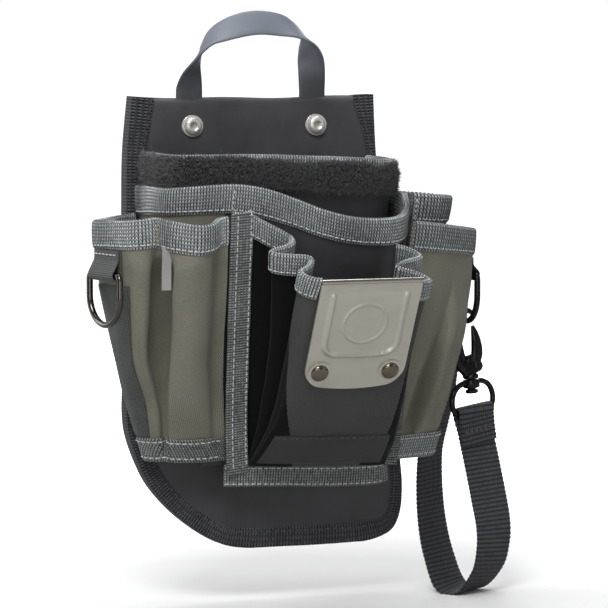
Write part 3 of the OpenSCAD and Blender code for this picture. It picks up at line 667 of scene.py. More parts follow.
def panel_edge_webbing():
    """Webbing folded round the panel's edge."""
    n = 1750
    s = lengths(outline)
    t = np.linspace(0, s[-1], n)
    L = np.stack([np.interp(t, s, outline[:, i]) for i in range(3)], axis=1)
    for _ in range(40):
        L[1:-1] = (L[:-2] + 2 * L[1:-1] + L[2:]) / 4
    d = unit(np.gradient(L, axis=0))
    inward = np.stack([-d[:, 2], 0 * d[:, 0], d[:, 0]], axis=1)
    for _ in range(120):
        inward[1:-1] = (inward[:-2] + 2 * inward[1:-1] + inward[2:]) / 4
    inward = unit(inward)
    L = L + inward * 1.2
    left_w = np.interp(L[:, 2], [0, 20, 60, 150, 200, 215, 232], [9.4, 9.0, 8.0, 8.0, 8.6, 10.4, 11.4])
    right_w = np.interp(L[:, 2], [0, 15, 38, 60, 150, 201, 209, 217, 224, 232],
                        [9.4, 7.2, 5.8, 5.2, 4.2, 4.0, 4.8, 6.4, 8.6, 10.8])
    side = np.clip((L[:, 0] - 10) / 50, 0, 1)
    w = left_w * (1 - side) + right_w * side + 0.3 * np.sin(t / 21)
    rear = 9.5
    outer, inner = [], []
    for f in np.linspace(1, 0, 8):
        drop = 0.55 if f == 1 else 0.0
        outer.append((w * f, -8.55 - 0.30 * math.sin(math.pi * f) + drop - 0.13 * np.cos(TAU * t / 1.5)))
        inner.append((w * f, -7.6))
    for th in np.linspace(0, 180, 13)[1:-1]:
        a = math.radians(th)
        outer.append((-0.7 * math.sin(a) ** 0.8 - 0.1 * math.sin(a) * np.cos(TAU * t / 1.5),
                      -3.4 - (5.15 + 0.13 * np.cos(TAU * t / 1.5)) * math.cos(a)))
        inner.append((0.25 * math.sin(a) ** 0.8, -3.4 - 4.2 * math.cos(a)))
    for f in np.linspace(0, 1, 8):
        outer.append((rear * f, 1.75 - (0.45 if f == 1 else 0)))
        inner.append((rear * f, 0.25))
    def make(rows):
        return np.stack([L + inward * np.broadcast_to(a, (n,))[:, None]
                         + np.array([0, 1.0, 0]) * np.broadcast_to(b, (n,))[:, None] for a, b in rows])
    A, B = make(outer), make(inner)
    b = Build()
    b.shell(A, B, fold_uv(t, A))
    b.done("panel_edge_webbing", "black_webbing", stands_for=("panel_binding",))
    line = L + inward * (w - 1.8)[:, None] + np.array([0, -8.95, 0])
    back = L + inward * (rear - 1.8) + np.array([0, 1.85, 0])
    stitches("panel_edge_stitches", [(line, np.broadcast_to([0, -1.0, 0], L.shape)),
                                     (back, np.broadcast_to([0, 1.0, 0], L.shape))], "black_thread",
                                     long=2.8, gap=1.2)


# ---- handle ----
HANDLE = [((-32.5, -4.3, 234.4), (-1, 0, 0)), ((-30.8, -4, 241.5), (-0.9, -0.42, -0.12)),
          ((-28.3, -4.8, 249.4), (-0.54, -0.83, -0.16)), ((-25.6, -6.3, 255.5), (-0.36, -0.86, -0.36)),
          ((-20.1, -7.2, 261.3), (-0.31, -0.73, -0.61)), ((-10.1, -7.7, 266), (-0.2, -0.57, -0.8)),
          ((1.9, -7.9, 268.4), (-0.1, -0.5, -0.86)), ((14.4, -7.6, 267.4), (-0.14, -0.57, -0.81)),
          ((22.9, -7, 264.7), (-0.07, -0.82, -0.57)), ((28.6, -6.2, 260.6), (0.09, -0.91, -0.39)),
          ((31.2, -5.5, 254.8), (0.55, -0.7, -0.45)), ((32.8, -4.7, 246), (0.9, -0.3, -0.29)),
          ((33.2, -4.3, 234.4), (1, 0, 0))]


def handle_strap():
    """Flat strap: up out of the panel, over in a twisting arch and back in."""
    t = np.linspace(0, len(HANDLE) - 1, 170)
    arch = spline([c for c, _ in HANDLE], t)
    wide = unit(spline([w for _, w in HANDLE], t))
    down = np.linspace(220, 234, 14)[:-1]
    legs = [np.stack([np.full(13, x), np.full(13, -4.3), z], axis=1) for x,
            z in ((-32.5, down), (33.2, down[::-1]))]
    L = np.concatenate([legs[0], arch, legs[1]])
    W = np.concatenate([np.tile([-1.0, 0, 0], (13, 1)), wide, np.tile([1.0, 0, 0], (13, 1))])
    S, s, w, n = ribbon_sections(L, W, 13.8, 2.0, profile=20, round_edge=0.7)
    b = Build()
    b.loft(S, u=s)
    b.done("handle_strap", "rubber_strap", stands_for=("handle_loop", "handle_tails"),
           sharp=60, ride=False)
    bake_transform(bpy.data.objects["handle_strap"])


# ---- pockets ----
BACK = -9.4
MAIN_TOP = [(-57, BACK, 203), (-57.5, -28, 203), (-56, -48, 203), (-46, -57, 203), (-20, -58.5, 203),
            (10, -58.5, 202),
            (40, -58, 200.5), (54, -55, 199.5), (60.5, -44, 199.5), (62, -28, 199.5), (61.5, BACK, 199.5)]
MAIN_LOW = [(-47, BACK, 48), (-46.8, -10.5, 48), (-45, -12.5, 48), (-38, -14, 48), (-18, -15, 48),
            (10, -15, 48),
            (38, -15, 48), (50, -14, 48), (57, -12.5, 48), (59.5, -10.8, 48), (60, BACK, 48)]
MID_TOP = [(-61, BACK, 186), (-61.8, -30, 186.3), (-60, -52, 186.5), (-49, -62.5, 187.5),
           (-29.6, -65.5, 188.5),
           (-14.5, -67, 186.3), (0, -70, 181.5), (14, -73, 175.8), (29, -74.5, 172), (46, -74, 171),
           (57, -69, 172.5),
           (64, -57, 177), (67.8, -44, 181.5), (69, -28, 182), (67.5, BACK, 182)]
MID_LOW = [(-52, BACK, 46), (-52, -11, 46), (-50, -14.5, 46), (-42, -17.5, 46), (-30, -18.8, 46),
           (-14, -19.3, 46),
           (0, -19.3, 46), (14, -19.3, 46), (29, -19, 46), (42, -18.6, 46), (52, -17.2, 46),
           (58, -15.2, 46),
           (62, -13, 46), (64, -11, 46), (64.5, BACK, 46)]
REAR_TOP = [(72, -45, 181.5), (82, -43, 180.5), (93, -37, 179.5), (99, -28, 179), (97.5, -17, 179),
            (87, -12, 180),
            (73.5, -10.6, 181)]
REAR_LOW = [(66.5, -17, 50), (70, -16.5, 50), (75, -15, 50), (78.5, -13.4, 50), (79, -11.8, 50),
            (76, -10.8, 50),
            (71, -10.4, 50)]
LEFT_TOP = [(-64, -10.4, 172), (-78, -21, 171.3), (-90.3, -34, 170.5), (-88.5, -48, 171),
            (-83, -61, 171.5),
            (-78.5, -66, 172.2), (-73.5, -66.8, 172.8), (-69.5, -65, 173), (-66.5, -65.5, 172.6),
            (-63.5, -68.5, 171.8),
            (-60.5, -73, 171), (-52, -78.3, 169.7), (-44.5, -76.8, 170.4), (-39.5, -71.5, 172.4),
            (-34.5, -70.5, 173.3)]
LEFT_NECK = [(-63.8, -10.4, 157), (-77.6, -20.8, 157), (-89.5, -33.4, 157), (-87.6, -47.4, 157),
             (-82.2, -60.4, 157),
             (-78, -65.6, 157), (-73, -65.6, 157), (-69, -62.5, 157), (-66, -62.8, 157),
             (-62.8, -66, 157),
             (-60.8, -71.5, 157), (-52.3, -77.6, 157), (-45, -75.8, 157), (-39.5, -69.5, 157),
             (-34, -68.5, 157)]
LEFT_SHOULDER = [(-63.2, -10.4, 143), (-76.4, -20.2, 143), (-88, -32.2, 143), (-86, -46, 143),
                 (-80.6, -58, 143),
                 (-76.5, -62.5, 143), (-71.7, -61.5, 143), (-66.6, -49, 143), (-57.2, -49.5, 143),
                 (-56.4, -58.5, 143),
                 (-61, -69.5, 143), (-54.7, -75, 143), (-45.4, -73, 143), (-38.6, -64.5, 143),
                 (-32.7, -64, 143)]
LEFT_WAIST = [(-61.3, -10.4, 105), (-70, -17, 105), (-77.4, -26, 105), (-78.9, -38, 105),
              (-75.2, -46, 105),
              (-71.8, -48, 105), (-68.2, -46.5, 105), (-63.6, -34, 105), (-54.4, -35, 105),
              (-52.8, -44.5, 105),
              (-57.9, -54.5, 105), (-50.6, -60.5, 105), (-42.3, -58.5, 105), (-36.4, -50, 105),
              (-29.8, -49, 105)]
LEFT_KNEE = [(-59.3, -10.4, 80), (-65, -14, 80), (-69.7, -19, 80), (-69.6, -27, 80), (-64.8, -33, 80),
             (-61.7, -35, 80), (-58.8, -34, 80), (-56.4, -27, 80), (-51.9, -28, 80), (-50.6, -34.2, 80),
             (-54.9, -41.5, 80), (-46.3, -47, 80), (-36.8, -45, 80), (-32.4, -39, 80), (-26.1, -38, 80)]
LEFT_LOW = [(-56, -10.4, 50), (-58, -12, 50), (-59, -14, 50), (-58.6, -16.2, 50), (-57, -18.2, 50),
            (-55.3, -19.5, 50), (-53.6, -20.5, 50), (-52.2, -21.3, 50), (-50.9, -22.2, 50),
            (-49.7, -23.2, 50),
            (-48.2, -24.5, 50), (-40.3, -27.6, 50), (-31.6, -28.2, 50), (-26.8, -27.3, 50),
            (-21.3, -26.5, 50)]
LEFT_ROWS = [LEFT_TOP, LEFT_NECK, LEFT_SHOULDER, LEFT_WAIST, LEFT_KNEE, LEFT_LOW]
FRONT_TOP = [(63.5, -69.5, 169), (76, -64.5, 167.5), (92, -54, 165), (105, -42, 163), (111.2, -30, 162),
             (111.6, -14, 162), (104.5, -12.5, 163)]
FRONT_WAIST = [(61, -51, 100), (70, -49, 100), (84, -44, 100), (98.5, -38, 100), (105, -28, 100),
               (104, -14.5, 100),
               (95, -12.5, 100)]
FRONT_LOW = [(65, -25.5, 46), (72, -24, 46), (82, -21.5, 46), (91, -19, 46), (94.5, -16.4, 46),
             (93, -13.8, 46),
             (87, -12.6, 46)]
FRONT_ROWS = [FRONT_TOP, FRONT_WAIST, FRONT_LOW]


def blend_rows(a, b, f, out=0.0):
    """A row between two others, pushed outward and level by out mm."""
    P = np.asarray(a, float) * (1 - f) + np.asarray(b, float) * f
    d = np.gradient(P, axis=0)
    n = unit(np.stack([d[:, 1], -d[:, 0], 0 * d[:, 0]], axis=1))
    k = np.sin(np.linspace(0, np.pi, len(P)))[:, None]
    return P + n * out * k


def row_share(rows, index):
    """Share of the surface's width at one control point."""
    R = np.asarray(rows, float)
    t = np.linspace(0, R.shape[1] - 1, (R.shape[1] - 1) * 12 + 1)
    s = np.mean([lengths(spline(r, t)) for r in R], axis=0)
    return float(np.interp(index, t, s) / s[-1])


def wall(name, rows, mat, node, nu=150, nv=90, t=1.0, folds=None, amount=0.5, scale=17.0, cols=None,
         seed=0.0,
         low=1.0):
    G = surf(rows, nu, nv)[:int(nv * low)]
    N = normals(G)
    v = np.linspace(0, low, len(G))[:, None]
    calm = np.clip(v / 0.15, 0, 1) * np.clip((1 - v) / 0.1, 0, 1)
    G = G + N * (wobble(G, amount, scale, seed) * calm)[..., None]
    if folds is not None:
        G = G + N * folds(G)[..., None]
    if cols:
        G = G[:, int(cols[0] * (nu - 1)):int(cols[1] * (nu - 1)) + 1]
    b = Build()
    b.sheet(G, -t / 2, t / 2)
    return b.done(name, mat, stands_for=(node,))


def main_pocket():
    rows = [MAIN_TOP, blend_rows(MAIN_TOP, MAIN_LOW, 0.4, 3), MAIN_LOW]
    wall("main_pocket_cloth", rows, "black_satin", "main_pocket_wall", amount=1.0,
         scale=25)
    # pile band: a soft pad with clumps, then loose fibres
    n = 420
    G = surf(rows, n, 70)
    N = normals(G)
    u = lengths(G[0])
    face = 15.0 + 0.6 * np.sin(u / 19)
    px = G[0, :, 0]
    drop = 0.4 + 1.6 * np.clip((px + 30) / 12, 0,
                               1) + 1.8 * np.exp(-((px - 8) / 9) ** 2) + 1.4 * np.exp(-((px
                                       - 48) / 6) ** 2)
    prof = []
    for k in range(20):
        a = k / 19
        d = drop + (face - drop) * a
        off = 1.6 + 2.2 * math.sin(math.pi * a) ** 0.45
        P, Q = column_at(G, N, np.maximum(d, 0.0))
        prof.append(P + Q * off + np.array([0, 0, 1.0]) * (1.2 * (1 - a) ** 4))
    outer = np.stack(prof)
    lump = wobble(outer, 0.9, 2.2) + wobble(outer, 0.7, 6.5, 9.0)
    On = normals(outer)
    outer = outer + On * lump[..., None]
    back = []
    for k in range(20):
        P, Q = column_at(G, N, face * k / 19)
        back.append(P + Q * 0.7)
    back = np.stack(back)
    uv = surface_uv(outer)
    b = Build()
    b.shell(outer, back, uv)
    b.done("main_pocket_pile", "pile_base", stands_for=("main_pocket_pile_band",),
           sharp=70)
    pile_fibres(outer, normals(outer), 15000)
    line, ln = column_at(G, N, face - 2.2)
    stitches("pile_stitches", [(line + ln * 3.9, ln)], "black_thread", long=3.0, gap=1.2, r=0.34)


def pile_fibres(G, N, count):
    """Short curled fibres standing on the pile band, longer at its lower edge, a few longer still."""
    r, c = G.shape[:2]
    b = Build()
    i = rng.uniform(0, r - 1.01, count)
    j = rng.uniform(0, c - 1.01, count)
    i[: count // 5] = rng.uniform(r - 3.0, r - 1.01, count // 5)
    i[count // 5: count // 3] = rng.uniform(0, 2.0, count // 3 - count // 5)
    verts, faces = [], []
    for a, q in zip(i, j):
        p = G[int(a), int(q)] * (1 - (a % 1)) + G[int(a) + 1, int(q)] * (a % 1)
        p = p + (G[int(a), int(q) + 1] - G[int(a), int(q)]) * (q % 1)
        n = N[int(a), int(q)]
        lean = rng.normal(0, 0.55, 3) + np.array([0, 0, -0.25 if a > r - 3 else (0.5 if a < 2 else 0)])
        long = rng.uniform(1.2, 3.0) * (1.4 if a > r - 3 else 1.0)
        if rng.uniform() < 0.04:
            long *= 1.9
        d = unit(n + lean)
        mid = p + d * long * 0.55
        tip = mid + unit(d + rng.normal(0, 0.5, 3)) * long * 0.5
        side = unit(np.cross(d, [0.3, 0.5, 0.8]))
        oth = np.cross(d, side)
        k = len(verts)
        rad = rng.uniform(0.09, 0.17)
        for m in range(3):
            g = side * math.cos(TAU * m / 3) + oth * math.sin(TAU * m / 3)
            verts.append(p - n * 0.2 + g * rad)
        for m in range(3):
            g = side * math.cos(TAU * m / 3) + oth * math.sin(TAU * m / 3)
            verts.append(mid + g * rad * 0.8)
        verts.append(tip)
        faces += [[k + m, k + (m + 1) % 3, k + 3 + (m + 1) % 3, k + 3 + m] for m in range(3)]
        faces += [[k + 3 + m, k + 3 + (m + 1) % 3, k + 6] for m in range(3)]
        faces += [[k + 2, k + 1, k]]
    b.v, b.f, b.count = [np.array(verts)], faces, len(verts)
    b.uv = [np.array([0.0, 0.0])] * sum(len(f) for f in faces)
    b.done("pile_fibres", "fibre", weld=0.00001, sharp=180)


def fibre_material():
    g = Graph("pile_fibre")
    x, y, z = g.pos()
    tone = g.noise((x, y, z), 0.9, 2.0)
    g.bump(g.noise((x, y, z), 6.0), 0.01)
    return g.finish(g.mix((tone - 0.3) * 2.0, lin(6, 6, 7), lin(112, 112, 116)), 0.75, sheen=0.3,
                    spec=0.4)


M["fibre"] = fibre_material()


def pile_material():
    g = Graph("pile_base")
    x, y, z = g.pos()
    tuft = g.noise((x, y, z), 0.75, 3.0, 0.7)
    hair = g.noise((x, y * 0.6, z), 3.0, 2.0, 0.6)
    g.bump(tuft + hair * 0.6, 1.2)
    return g.finish(g.mix((tuft - 0.35) * 1.6 * (hair + 0.3), lin(6, 6, 7), lin(62, 62, 65)), 0.92,
                    sheen=0.25, spec=0.15)


M["pile_base"] = pile_material()

handle_strap()
panel_front_cover()
panel_rear_cover()
panel_edge_webbing()
main_pocket()

SEAM = 0.285  # where the middle pocket's cloth changes, as a share of its row
MID_ROWS = [MID_TOP, blend_rows(MID_TOP, MID_LOW, 0.42, 4), MID_LOW]
wall("middle_pocket_left_cloth", MID_ROWS, "olive_canvas", "middle_pocket_left_wall",
     nu=220, cols=(0, SEAM),
     low=0.88)
wall("middle_pocket_front_cloth", MID_ROWS, "black_satin", "middle_pocket_front_wall",
     nu=220, cols=(SEAM + 0.005, 1),
     amount=0.9, scale=24)
binding("middle_pocket_tape", MID_ROWS, 12.5, ("middle_pocket_binding",),
        seams=((row_share(MID_ROWS, 4), "light_thread"),))
binding("main_pocket_inner_tape", [MAIN_TOP, MAIN_LOW], 5.0, ("main_pocket_edge_tape",), gap=0.55, t=0.8,
        stitch=None,
        wave=0.2)
wall("rear_right_cloth", [REAR_TOP, blend_rows(REAR_TOP, REAR_LOW, 0.5, 2), REAR_LOW], "olive_canvas",
     "rear_right_pocket_wall",
     nu=80, nv=60)
binding("rear_right_tape", [REAR_TOP, REAR_LOW], 12.5, ("rear_right_binding",), rib=2.1,
        mat="grey_wide_webbing", seams=((0.03, "light_thread"),))
wall("left_pocket_cloth", LEFT_ROWS, "olive_canvas", "left_pocket_wall", nu=260, nv=110,
     amount=0.6)
binding("left_pocket_tape", LEFT_ROWS, 12.5, ("left_pocket_binding",),
        seams=((row_share(LEFT_ROWS, 7.1), "olive_thread"),))

CREASE = np.array([(92.0, 130.0), (90.3, 113.4), (84.1, 84.9), (79.5, 60.9), (78.0, 46.0)])


def front_fold(G):
    """The deep fold down the front right pocket: a dark groove with a lip on its right."""
    z = G[..., 2]
    xc = np.interp(z, CREASE[::-1, 1], CREASE[::-1, 0])
    s = G[..., 0] - xc
    depth = np.interp(z, [46, 58, 64, 85, 115, 140], [0.0, 0.6, 6.0, 8.0, 3.5, 0])
    groove = np.where(s < 0, np.exp(-(s / 6.0) ** 2), np.exp(-(s / 0.9) ** 2))
    lip = np.exp(-((s - 3.5) / 3.5) ** 2) * 0.5
    return (-groove + lip) * depth * (G[..., 1] < -15)


wall("front_right_cloth", [FRONT_TOP, blend_rows(FRONT_TOP, FRONT_WAIST, 0.5, 1.5), FRONT_WAIST,
                           FRONT_LOW], "olive_canvas",
     "front_right_pocket_wall", nu=170, nv=110, folds=front_fold, amount=0.5)
binding("front_right_tape", FRONT_ROWS, 12.5, ("front_right_binding",), rib=2.1, mat="grey_wide_webbing")

# ---- centre pocket ----
CENTRE_ROWS = [
    [(-24, -73.5, 175), (-14, -74.5, 169.5), (-5, -78, 164), (-7, -83, 160.8), (-17.2, -86, 158),
     (-13.5, -89.5, 156.3),
     (-0.5, -92, 155), (-1.5, -95.5, 151.5), (-6.8, -98.5, 148.8), (-5, -103, 146.5),
     (0.6, -106.9, 145.2),
     (12, -107.5, 144.8), (26, -107.7, 144.4), (42, -107.4, 143.7), (51.5, -106.4, 143),
     (57.3, -102.6, 142.8),
     (59.6, -96.8, 143.2), (55, -93, 146), (47, -90, 148.8), (51, -86, 151), (61, -82, 153),
     (58.5, -78.5, 156),
     (51, -76.5, 158.6)],
    [(-20.5, -56, 122), (-12, -57.5, 120), (-3, -60, 118), (-5.5, -64, 116), (-11, -67, 115),
     (-8.5, -70, 114),
     (-1, -72.5, 113), (-2.5, -75, 112), (-6, -77.5, 111.5), (-5.8, -82, 111), (-3, -87.3, 110.5),
     (10, -89, 110),
     (26, -89.3, 109.8), (42, -89, 109.6), (52.5, -87.3, 109.5), (57, -83, 110), (58.6, -77, 110.5),
     (55, -74, 112),
     (49.5, -71, 113), (53, -67.5, 114), (60, -64, 115), (58.5, -60, 116), (56, -57, 117)],
    [(-15, -40, 82), (-11, -41, 80.5), (-5, -43, 79.5), (-6.5, -46, 79), (-9.5, -48.5, 78.5),
     (-8, -51, 78),
     (-3, -53.5, 77.5), (-4.6, -56, 77.5), (-6.5, -59, 77.5), (-6, -63.5, 77.5), (-3.6, -68.7, 77.5),
     (10, -70.6, 77),
     (26, -70.9, 76.8), (42, -70.6, 76.6), (53.6, -69.2, 76.5), (57.5, -66, 77), (59.5, -61, 77.5),
     (57, -57.5, 78),
     (54, -54.5, 78.5), (56.5, -51.5, 79), (60, -48.5, 79.5), (60.5, -45, 80), (61, -42, 80.5)],
    [(-12.5, -33, 63), (-10.5, -34, 62.5), (-7, -35.5, 62), (-8.2, -37.5, 62), (-9.6, -39.5, 62),
     (-8.5, -41.5, 62),
     (-6.2, -43.5, 62), (-7.2, -45.5, 62), (-8.4, -47.5, 62), (-8.2, -50.5, 62), (-6.7, -53.6, 62),
     (9, -55.8, 61.5),
     (26, -56.2, 61), (42, -55.8, 60.5), (56, -54.4, 60), (59.5, -52, 60.5), (61, -48.5, 61),
     (60, -45.5, 61.5),
     (58.5, -43, 62), (60, -40.5, 62), (62, -38, 62), (62, -35.5, 62), (62, -33, 62)],
    [(-9.5, -24.5, 47), (-9.6, -25.2, 47), (-9.7, -25.8, 47), (-9.8, -26.4, 47), (-9.9, -27, 47),
     (-10, -27.6, 47),
     (-10, -28.2, 47), (-10, -28.8, 47), (-9.8, -29.4, 47), (-9.3, -30.2, 47), (-8, -31, 47),
     (9, -32, 46),
     (26, -32, 45.4), (42, -31.8, 45), (60, -31, 44.4), (63, -29.8, 44.6), (64, -28.8, 45), (64, -28, 45),
     (64, -27.2, 45), (64, -26.4, 45), (64, -25.6, 45), (63.8, -24.8, 45), (63.5, -24, 45.5)]]
centre = wall("centre_pocket_cloth", CENTRE_ROWS, "black_nylon", "centre_pocket_wall",
              nu=340, nv=120,
              amount=0.35, scale=14)


front_a, front_b = row_share(CENTRE_ROWS, 10), row_share(CENTRE_ROWS, 14)
# the pleated sides get a far darker, smoother material than the front
centre.data.materials.append(M["gusset"])
uvs = centre.data.uv_layers["cloth"].data
probe = surface_uv(surf(CENTRE_ROWS, 340, 120))
span = probe[:, -1, 0] - probe[:, 0, 0]
for poly in centre.data.polygons:
    u, v = uvs[poly.loop_start].uv
    row = int(np.clip(np.searchsorted(probe[:, 0, 1], v), 0, 119))
    share = (u - probe[row, 0, 0]) / span[row]
    if share < front_a + 0.002 or share > front_b - 0.002:
        poly.material_index = 1
binding("centre_left_tape", CENTRE_ROWS, 10.0, ("centre_left_binding",), u0=0.0, u1=front_a, gap=0.7,
        t=0.85, wave=0.2)
binding("centre_right_tape", CENTRE_ROWS, 10.0, ("centre_right_binding",), u0=front_b, u1=1.0, gap=0.7,
        t=0.85, wave=0.2)


def outer_patch(name, rows, c0, c1, r0, r1, mat, node, off=0.75, t=0.8, nu=300, nv=200,
                stitch=None):
    """A layer laid on part of a wall, with rounded edges."""
    F = surf(rows, nu, nv)
    N = normals(F)
    a, b = int(c0 * (nu - 1)), int(c1 * (nu - 1)) + 1
    c, d = int(r0 * (nv - 1)), int(r1 * (nv - 1)) + 1
    G, Q = F[c:d, a:b], N[c:d, a:b]
    h, w = G.shape[:2]
    fi = np.minimum(np.arange(h), np.arange(h)[::-1])[:, None]
    fj = np.minimum(np.arange(w), np.arange(w)[::-1])[None, :]
    edge = np.clip(np.minimum(fi, fj) / 2.0, 0, 1)
    b_ = Build()
    b_.sheet(G, off, off + t * (0.45 + 0.55 * edge), N=Q)
    b_.done(name, mat, stands_for=(node,) if node else ())
    if stitch:
        lines = []
        for f in stitch:
            k = int(f * (h - 1))
            lines.append((G[k] + Q[k] * (off + t + 0.1), Q[k]))
        stitches(name + "_stitches", lines, "light_thread" if mat != "toe_satin" else "black_thread")


def row_at(rows, z, index):
    """Share of the surface's height where the column through a control point is at height z."""
    F = surf(rows, 120, 300)
    j = int(row_share(rows, index) * 119)
    return float(np.interp(-z, -F[:, j, 2], np.linspace(0, 1, 300)))


outer_patch("toe_strip_cloth", CENTRE_ROWS, front_a + 0.004, front_b - 0.004,
            row_at(CENTRE_ROWS, 64.5, 12),
            row_at(CENTRE_ROWS, 47.5, 12), "toe_satin", "toe_strip", off=0.55, t=0.7,
            stitch=(0.05,))
outer_patch("left_side_band", LEFT_ROWS, row_share(LEFT_ROWS, 2.2), row_share(LEFT_ROWS, 4.1),
            row_at(LEFT_ROWS, 141, 3),
            row_at(LEFT_ROWS, 63, 3), "grey_plain_tape", "left_side_tape", stitch=None)
outer_patch("left_bottom_band", LEFT_ROWS, row_share(LEFT_ROWS, 1.8), 1.0, row_at(LEFT_ROWS, 62, 11),
            1.0, "grey_flat_webbing", "left_bottom_tape", stitch=(0.15, 0.85))
outer_patch("right_bottom_band", FRONT_ROWS, 0.0, 0.97, row_at(FRONT_ROWS, 59, 2),
            1.0, "grey_webbing", "right_bottom_tape", stitch=(0.15, 0.85))


def flat_tape(name, L, W, width, t, mat, node):
    S, s, w, n = ribbon_sections(L, W, width, t, profile=24, rib=1.35, amp=0.06, scallop=0.1)
    b = Build()
    b.loft(S, u=s)
    b.done(name, mat, stands_for=(node,) if node else (), sharp=60)
    return s, w, n


line = even([(-28.8, -74.6, 176.5), (-28.2, -74.0, 172), (-25.2, -61, 133), (-19.6, -39.5, 73),
             (-15.5, -29, 43)], 560)
s, w, n = flat_tape("centre_tape", line, np.tile([1.0, 0, 0], (560, 1)), 11.4, 1.3, "grey_flat_webbing",
                    "centre_side_tape")
face = np.where((n[:, 1:2] < 0), n, -n)
stitches("centre_tape_stitches",
         [(line - w * 2.3 + face * 0.78, face), (line + w * 4.6 + face * 0.75, face)], "light_thread")

line = even([(-21.5, -25, 41.5), (-8, -27.8, 41.3), (10, -28.4, 40.6), (35, -28.4, 39.3), (58, -27.5, 39),
             (66.5, -25.4, 40.4)], 340)
s, w, n = flat_tape("centre_bottom_band", line, np.tile([0.0, 0.16, -1.0], (340, 1)), 11.5, 1.5,
                    "grey_flat_webbing", "centre_bottom_tape")
face = np.where((n[:, 1:2] < 0), n, -n)
stitches("centre_bottom_stitches",
         [(line + w * 4.2 + face * 0.85, face), (line - w * 4.0 + face * 0.85, face)], "light_thread")

line = even([(66.9, -27.2, 43.5), (67.4, -28.6, 48), (67.0, -33.6, 60), (65.6, -41.5, 76),
             (64.6, -49, 94)], 260)
s, w, n = flat_tape("centre_corner_tape", line, np.tile([1.0, 0, 0], (260, 1)), 8.0, 1.2,
                    "grey_flat_webbing", None)
face = np.where((n[:, 1:2] < 0), n, -n)
stitches("centre_corner_stitches", [(line - w * 2.6 + face * 0.75, face)], "light_thread")

# tag between the tubes, its top end under the tape
b = Build()
x = np.linspace(-66.7, -62.0, 10)[None, :] + np.zeros((20, 1))
z = np.linspace(160.5, 139.5, 20)[:, None] + np.zeros((1, 10))
y = -66.6 - 0.5 * np.clip((z - 150) / 8, 0, 1) + 0.25 * np.sin((z - 139) / 4)
b.sheet(np.stack([x, y, z], axis=2), -0.2, 0.2)
b.done("pocket_label", "tag", stands_for=("pocket_tag",))


# ---- tape-measure clip ----
TILT = math.radians(28.5)
PLATE_TOP = np.array([26, -108.9, 144.8])
PLATE_W, PLATE_H = 52.0, 62.0


def on_plate(p):
    """Plate coordinates (across, out, up) to the panel frame."""
    p = np.asarray(p, float)
    y, z = -p[..., 1], p[..., 2]
    return PLATE_TOP + np.stack([p[..., 0], y * math.cos(TILT) - z * math.sin(TILT),
                                 y * math.sin(TILT) + z * math.cos(TILT)], axis=-1)


def clip_plate():
    nu, nv = 150, 180
    half = PLATE_W / 2
    v = np.linspace(0, 1, nv)[:, None]
    f = np.linspace(-1, 1, nu)[None, :]
    bow = 3.2 * (1 - f ** 2)
    corner = 9.0
    inset = np.abs(f) * half - (half - corner)
    lift = np.where(inset > 0,
                    corner - np.sqrt(np.maximum(corner ** 2 - np.minimum(inset, corner) ** 2, 0)), 0)
    bottom = -(PLATE_H - 3.2) - bow + lift
    Z = v * bottom
    X = f * half + 0 * Z
    depth = np.full_like(X, 0.6)
    # pressed ridge: down both sides and across
    side, low, r = 19.0, -41.5, 7.0
    qx, qz = np.abs(X) - (side - r), (low + r) - Z
    dist = np.where((qx > 0) & (qz > 0), np.hypot(qx, qz) - r, np.maximum(qx - r, qz - r))
    dist = np.where(qz <= 0, np.abs(X) - side, dist)
    dist = np.where((qx <= 0) & (qz > 0), qz - r - 0.0014 * (side ** 2 - X ** 2), dist)
    ridge = np.exp(-(dist / 1.05) ** 2) * np.clip((-Z - 5.5) / 2.0, 0, 1)
    depth = depth + 1.35 * ridge
    depth = depth + 0.25 * (dist < 0) * np.clip((-Z - 5.5) / 3.0, 0, 1)
    # plain round boss
    rad = np.hypot(X, Z + 23.5)
    depth = depth + 0.6 * np.exp(-((rad - 11.0) / 0.6) ** 2) + 0.15 * np.clip((11 - rad) / 1.5, 0, 1)
    # dished round each rivet
    for sx in (-18.4, 18.4):
        rr = np.hypot(X - sx, Z + 52)
        depth = depth - 0.35 * np.exp(-((rr - 5.6) / 0.9) ** 2)
    G = on_plate(np.stack([X, depth, Z], axis=2))
    b = Build()
    b.sheet(G, -0.6, 0.6)
    b.done("clip_plate", "satin_nickel", stands_for=("tape_clip_plate",), sharp=35)
    # rolled top edge
    a = np.linspace(-0.5 * math.pi, 1.2 * math.pi, 20)
    xs = np.linspace(-half, half, 40)
    roll = np.stack([np.stack([np.full(20, x), 0.25 + 1.35 * np.sin(a), 0.1 + 1.35 * np.cos(a)], axis=1)
                     for x in xs])
    hollow = np.stack([np.stack([np.full(20, x), 0.25 + 0.6 * np.sin(a), 0.1 + 0.6 * np.cos(a)], axis=1)
                       for x in xs])
    S = on_plate(np.concatenate([roll, hollow[:, ::-1]], axis=1))
    b = Build()
    b.loft(S, caps=False)
    for k, rev in ((0, False), (-1, True)):
        b.grid(np.stack([on_plate(roll[k]), on_plate(hollow[k])]), flip=rev)
    b.done("clip_plate_roll", "bright_steel")
    b = Build()
    out = on_plate([0, 1.0, 0]) - on_plate([0, 0, 0])
    for sx in (-18.4, 18.4):
        at = on_plate([sx, 1.25, -52])
        dome = [(0.05, 2.5)] + [(4.5 * math.sin(t), 0.35 + 2.1 * math.cos(t))
                                for t in np.linspace(0.12, 1.5, 12)] + [(4.4, 0), (2.4, -0.2),
                                        (2.4, -3.0), (0.05, -3.0)]
        lathe(b, at, out, dome)
    b.done("clip_rivets", "rivet", stands_for=("tape_clip_rivets",), sharp=40)


M["rivet"] = metal("rivet", lin(92, 86, 76), lin(150, 140, 124), rough=0.17, brush=(1, 1, 1), bump=0.006)
clip_plate()

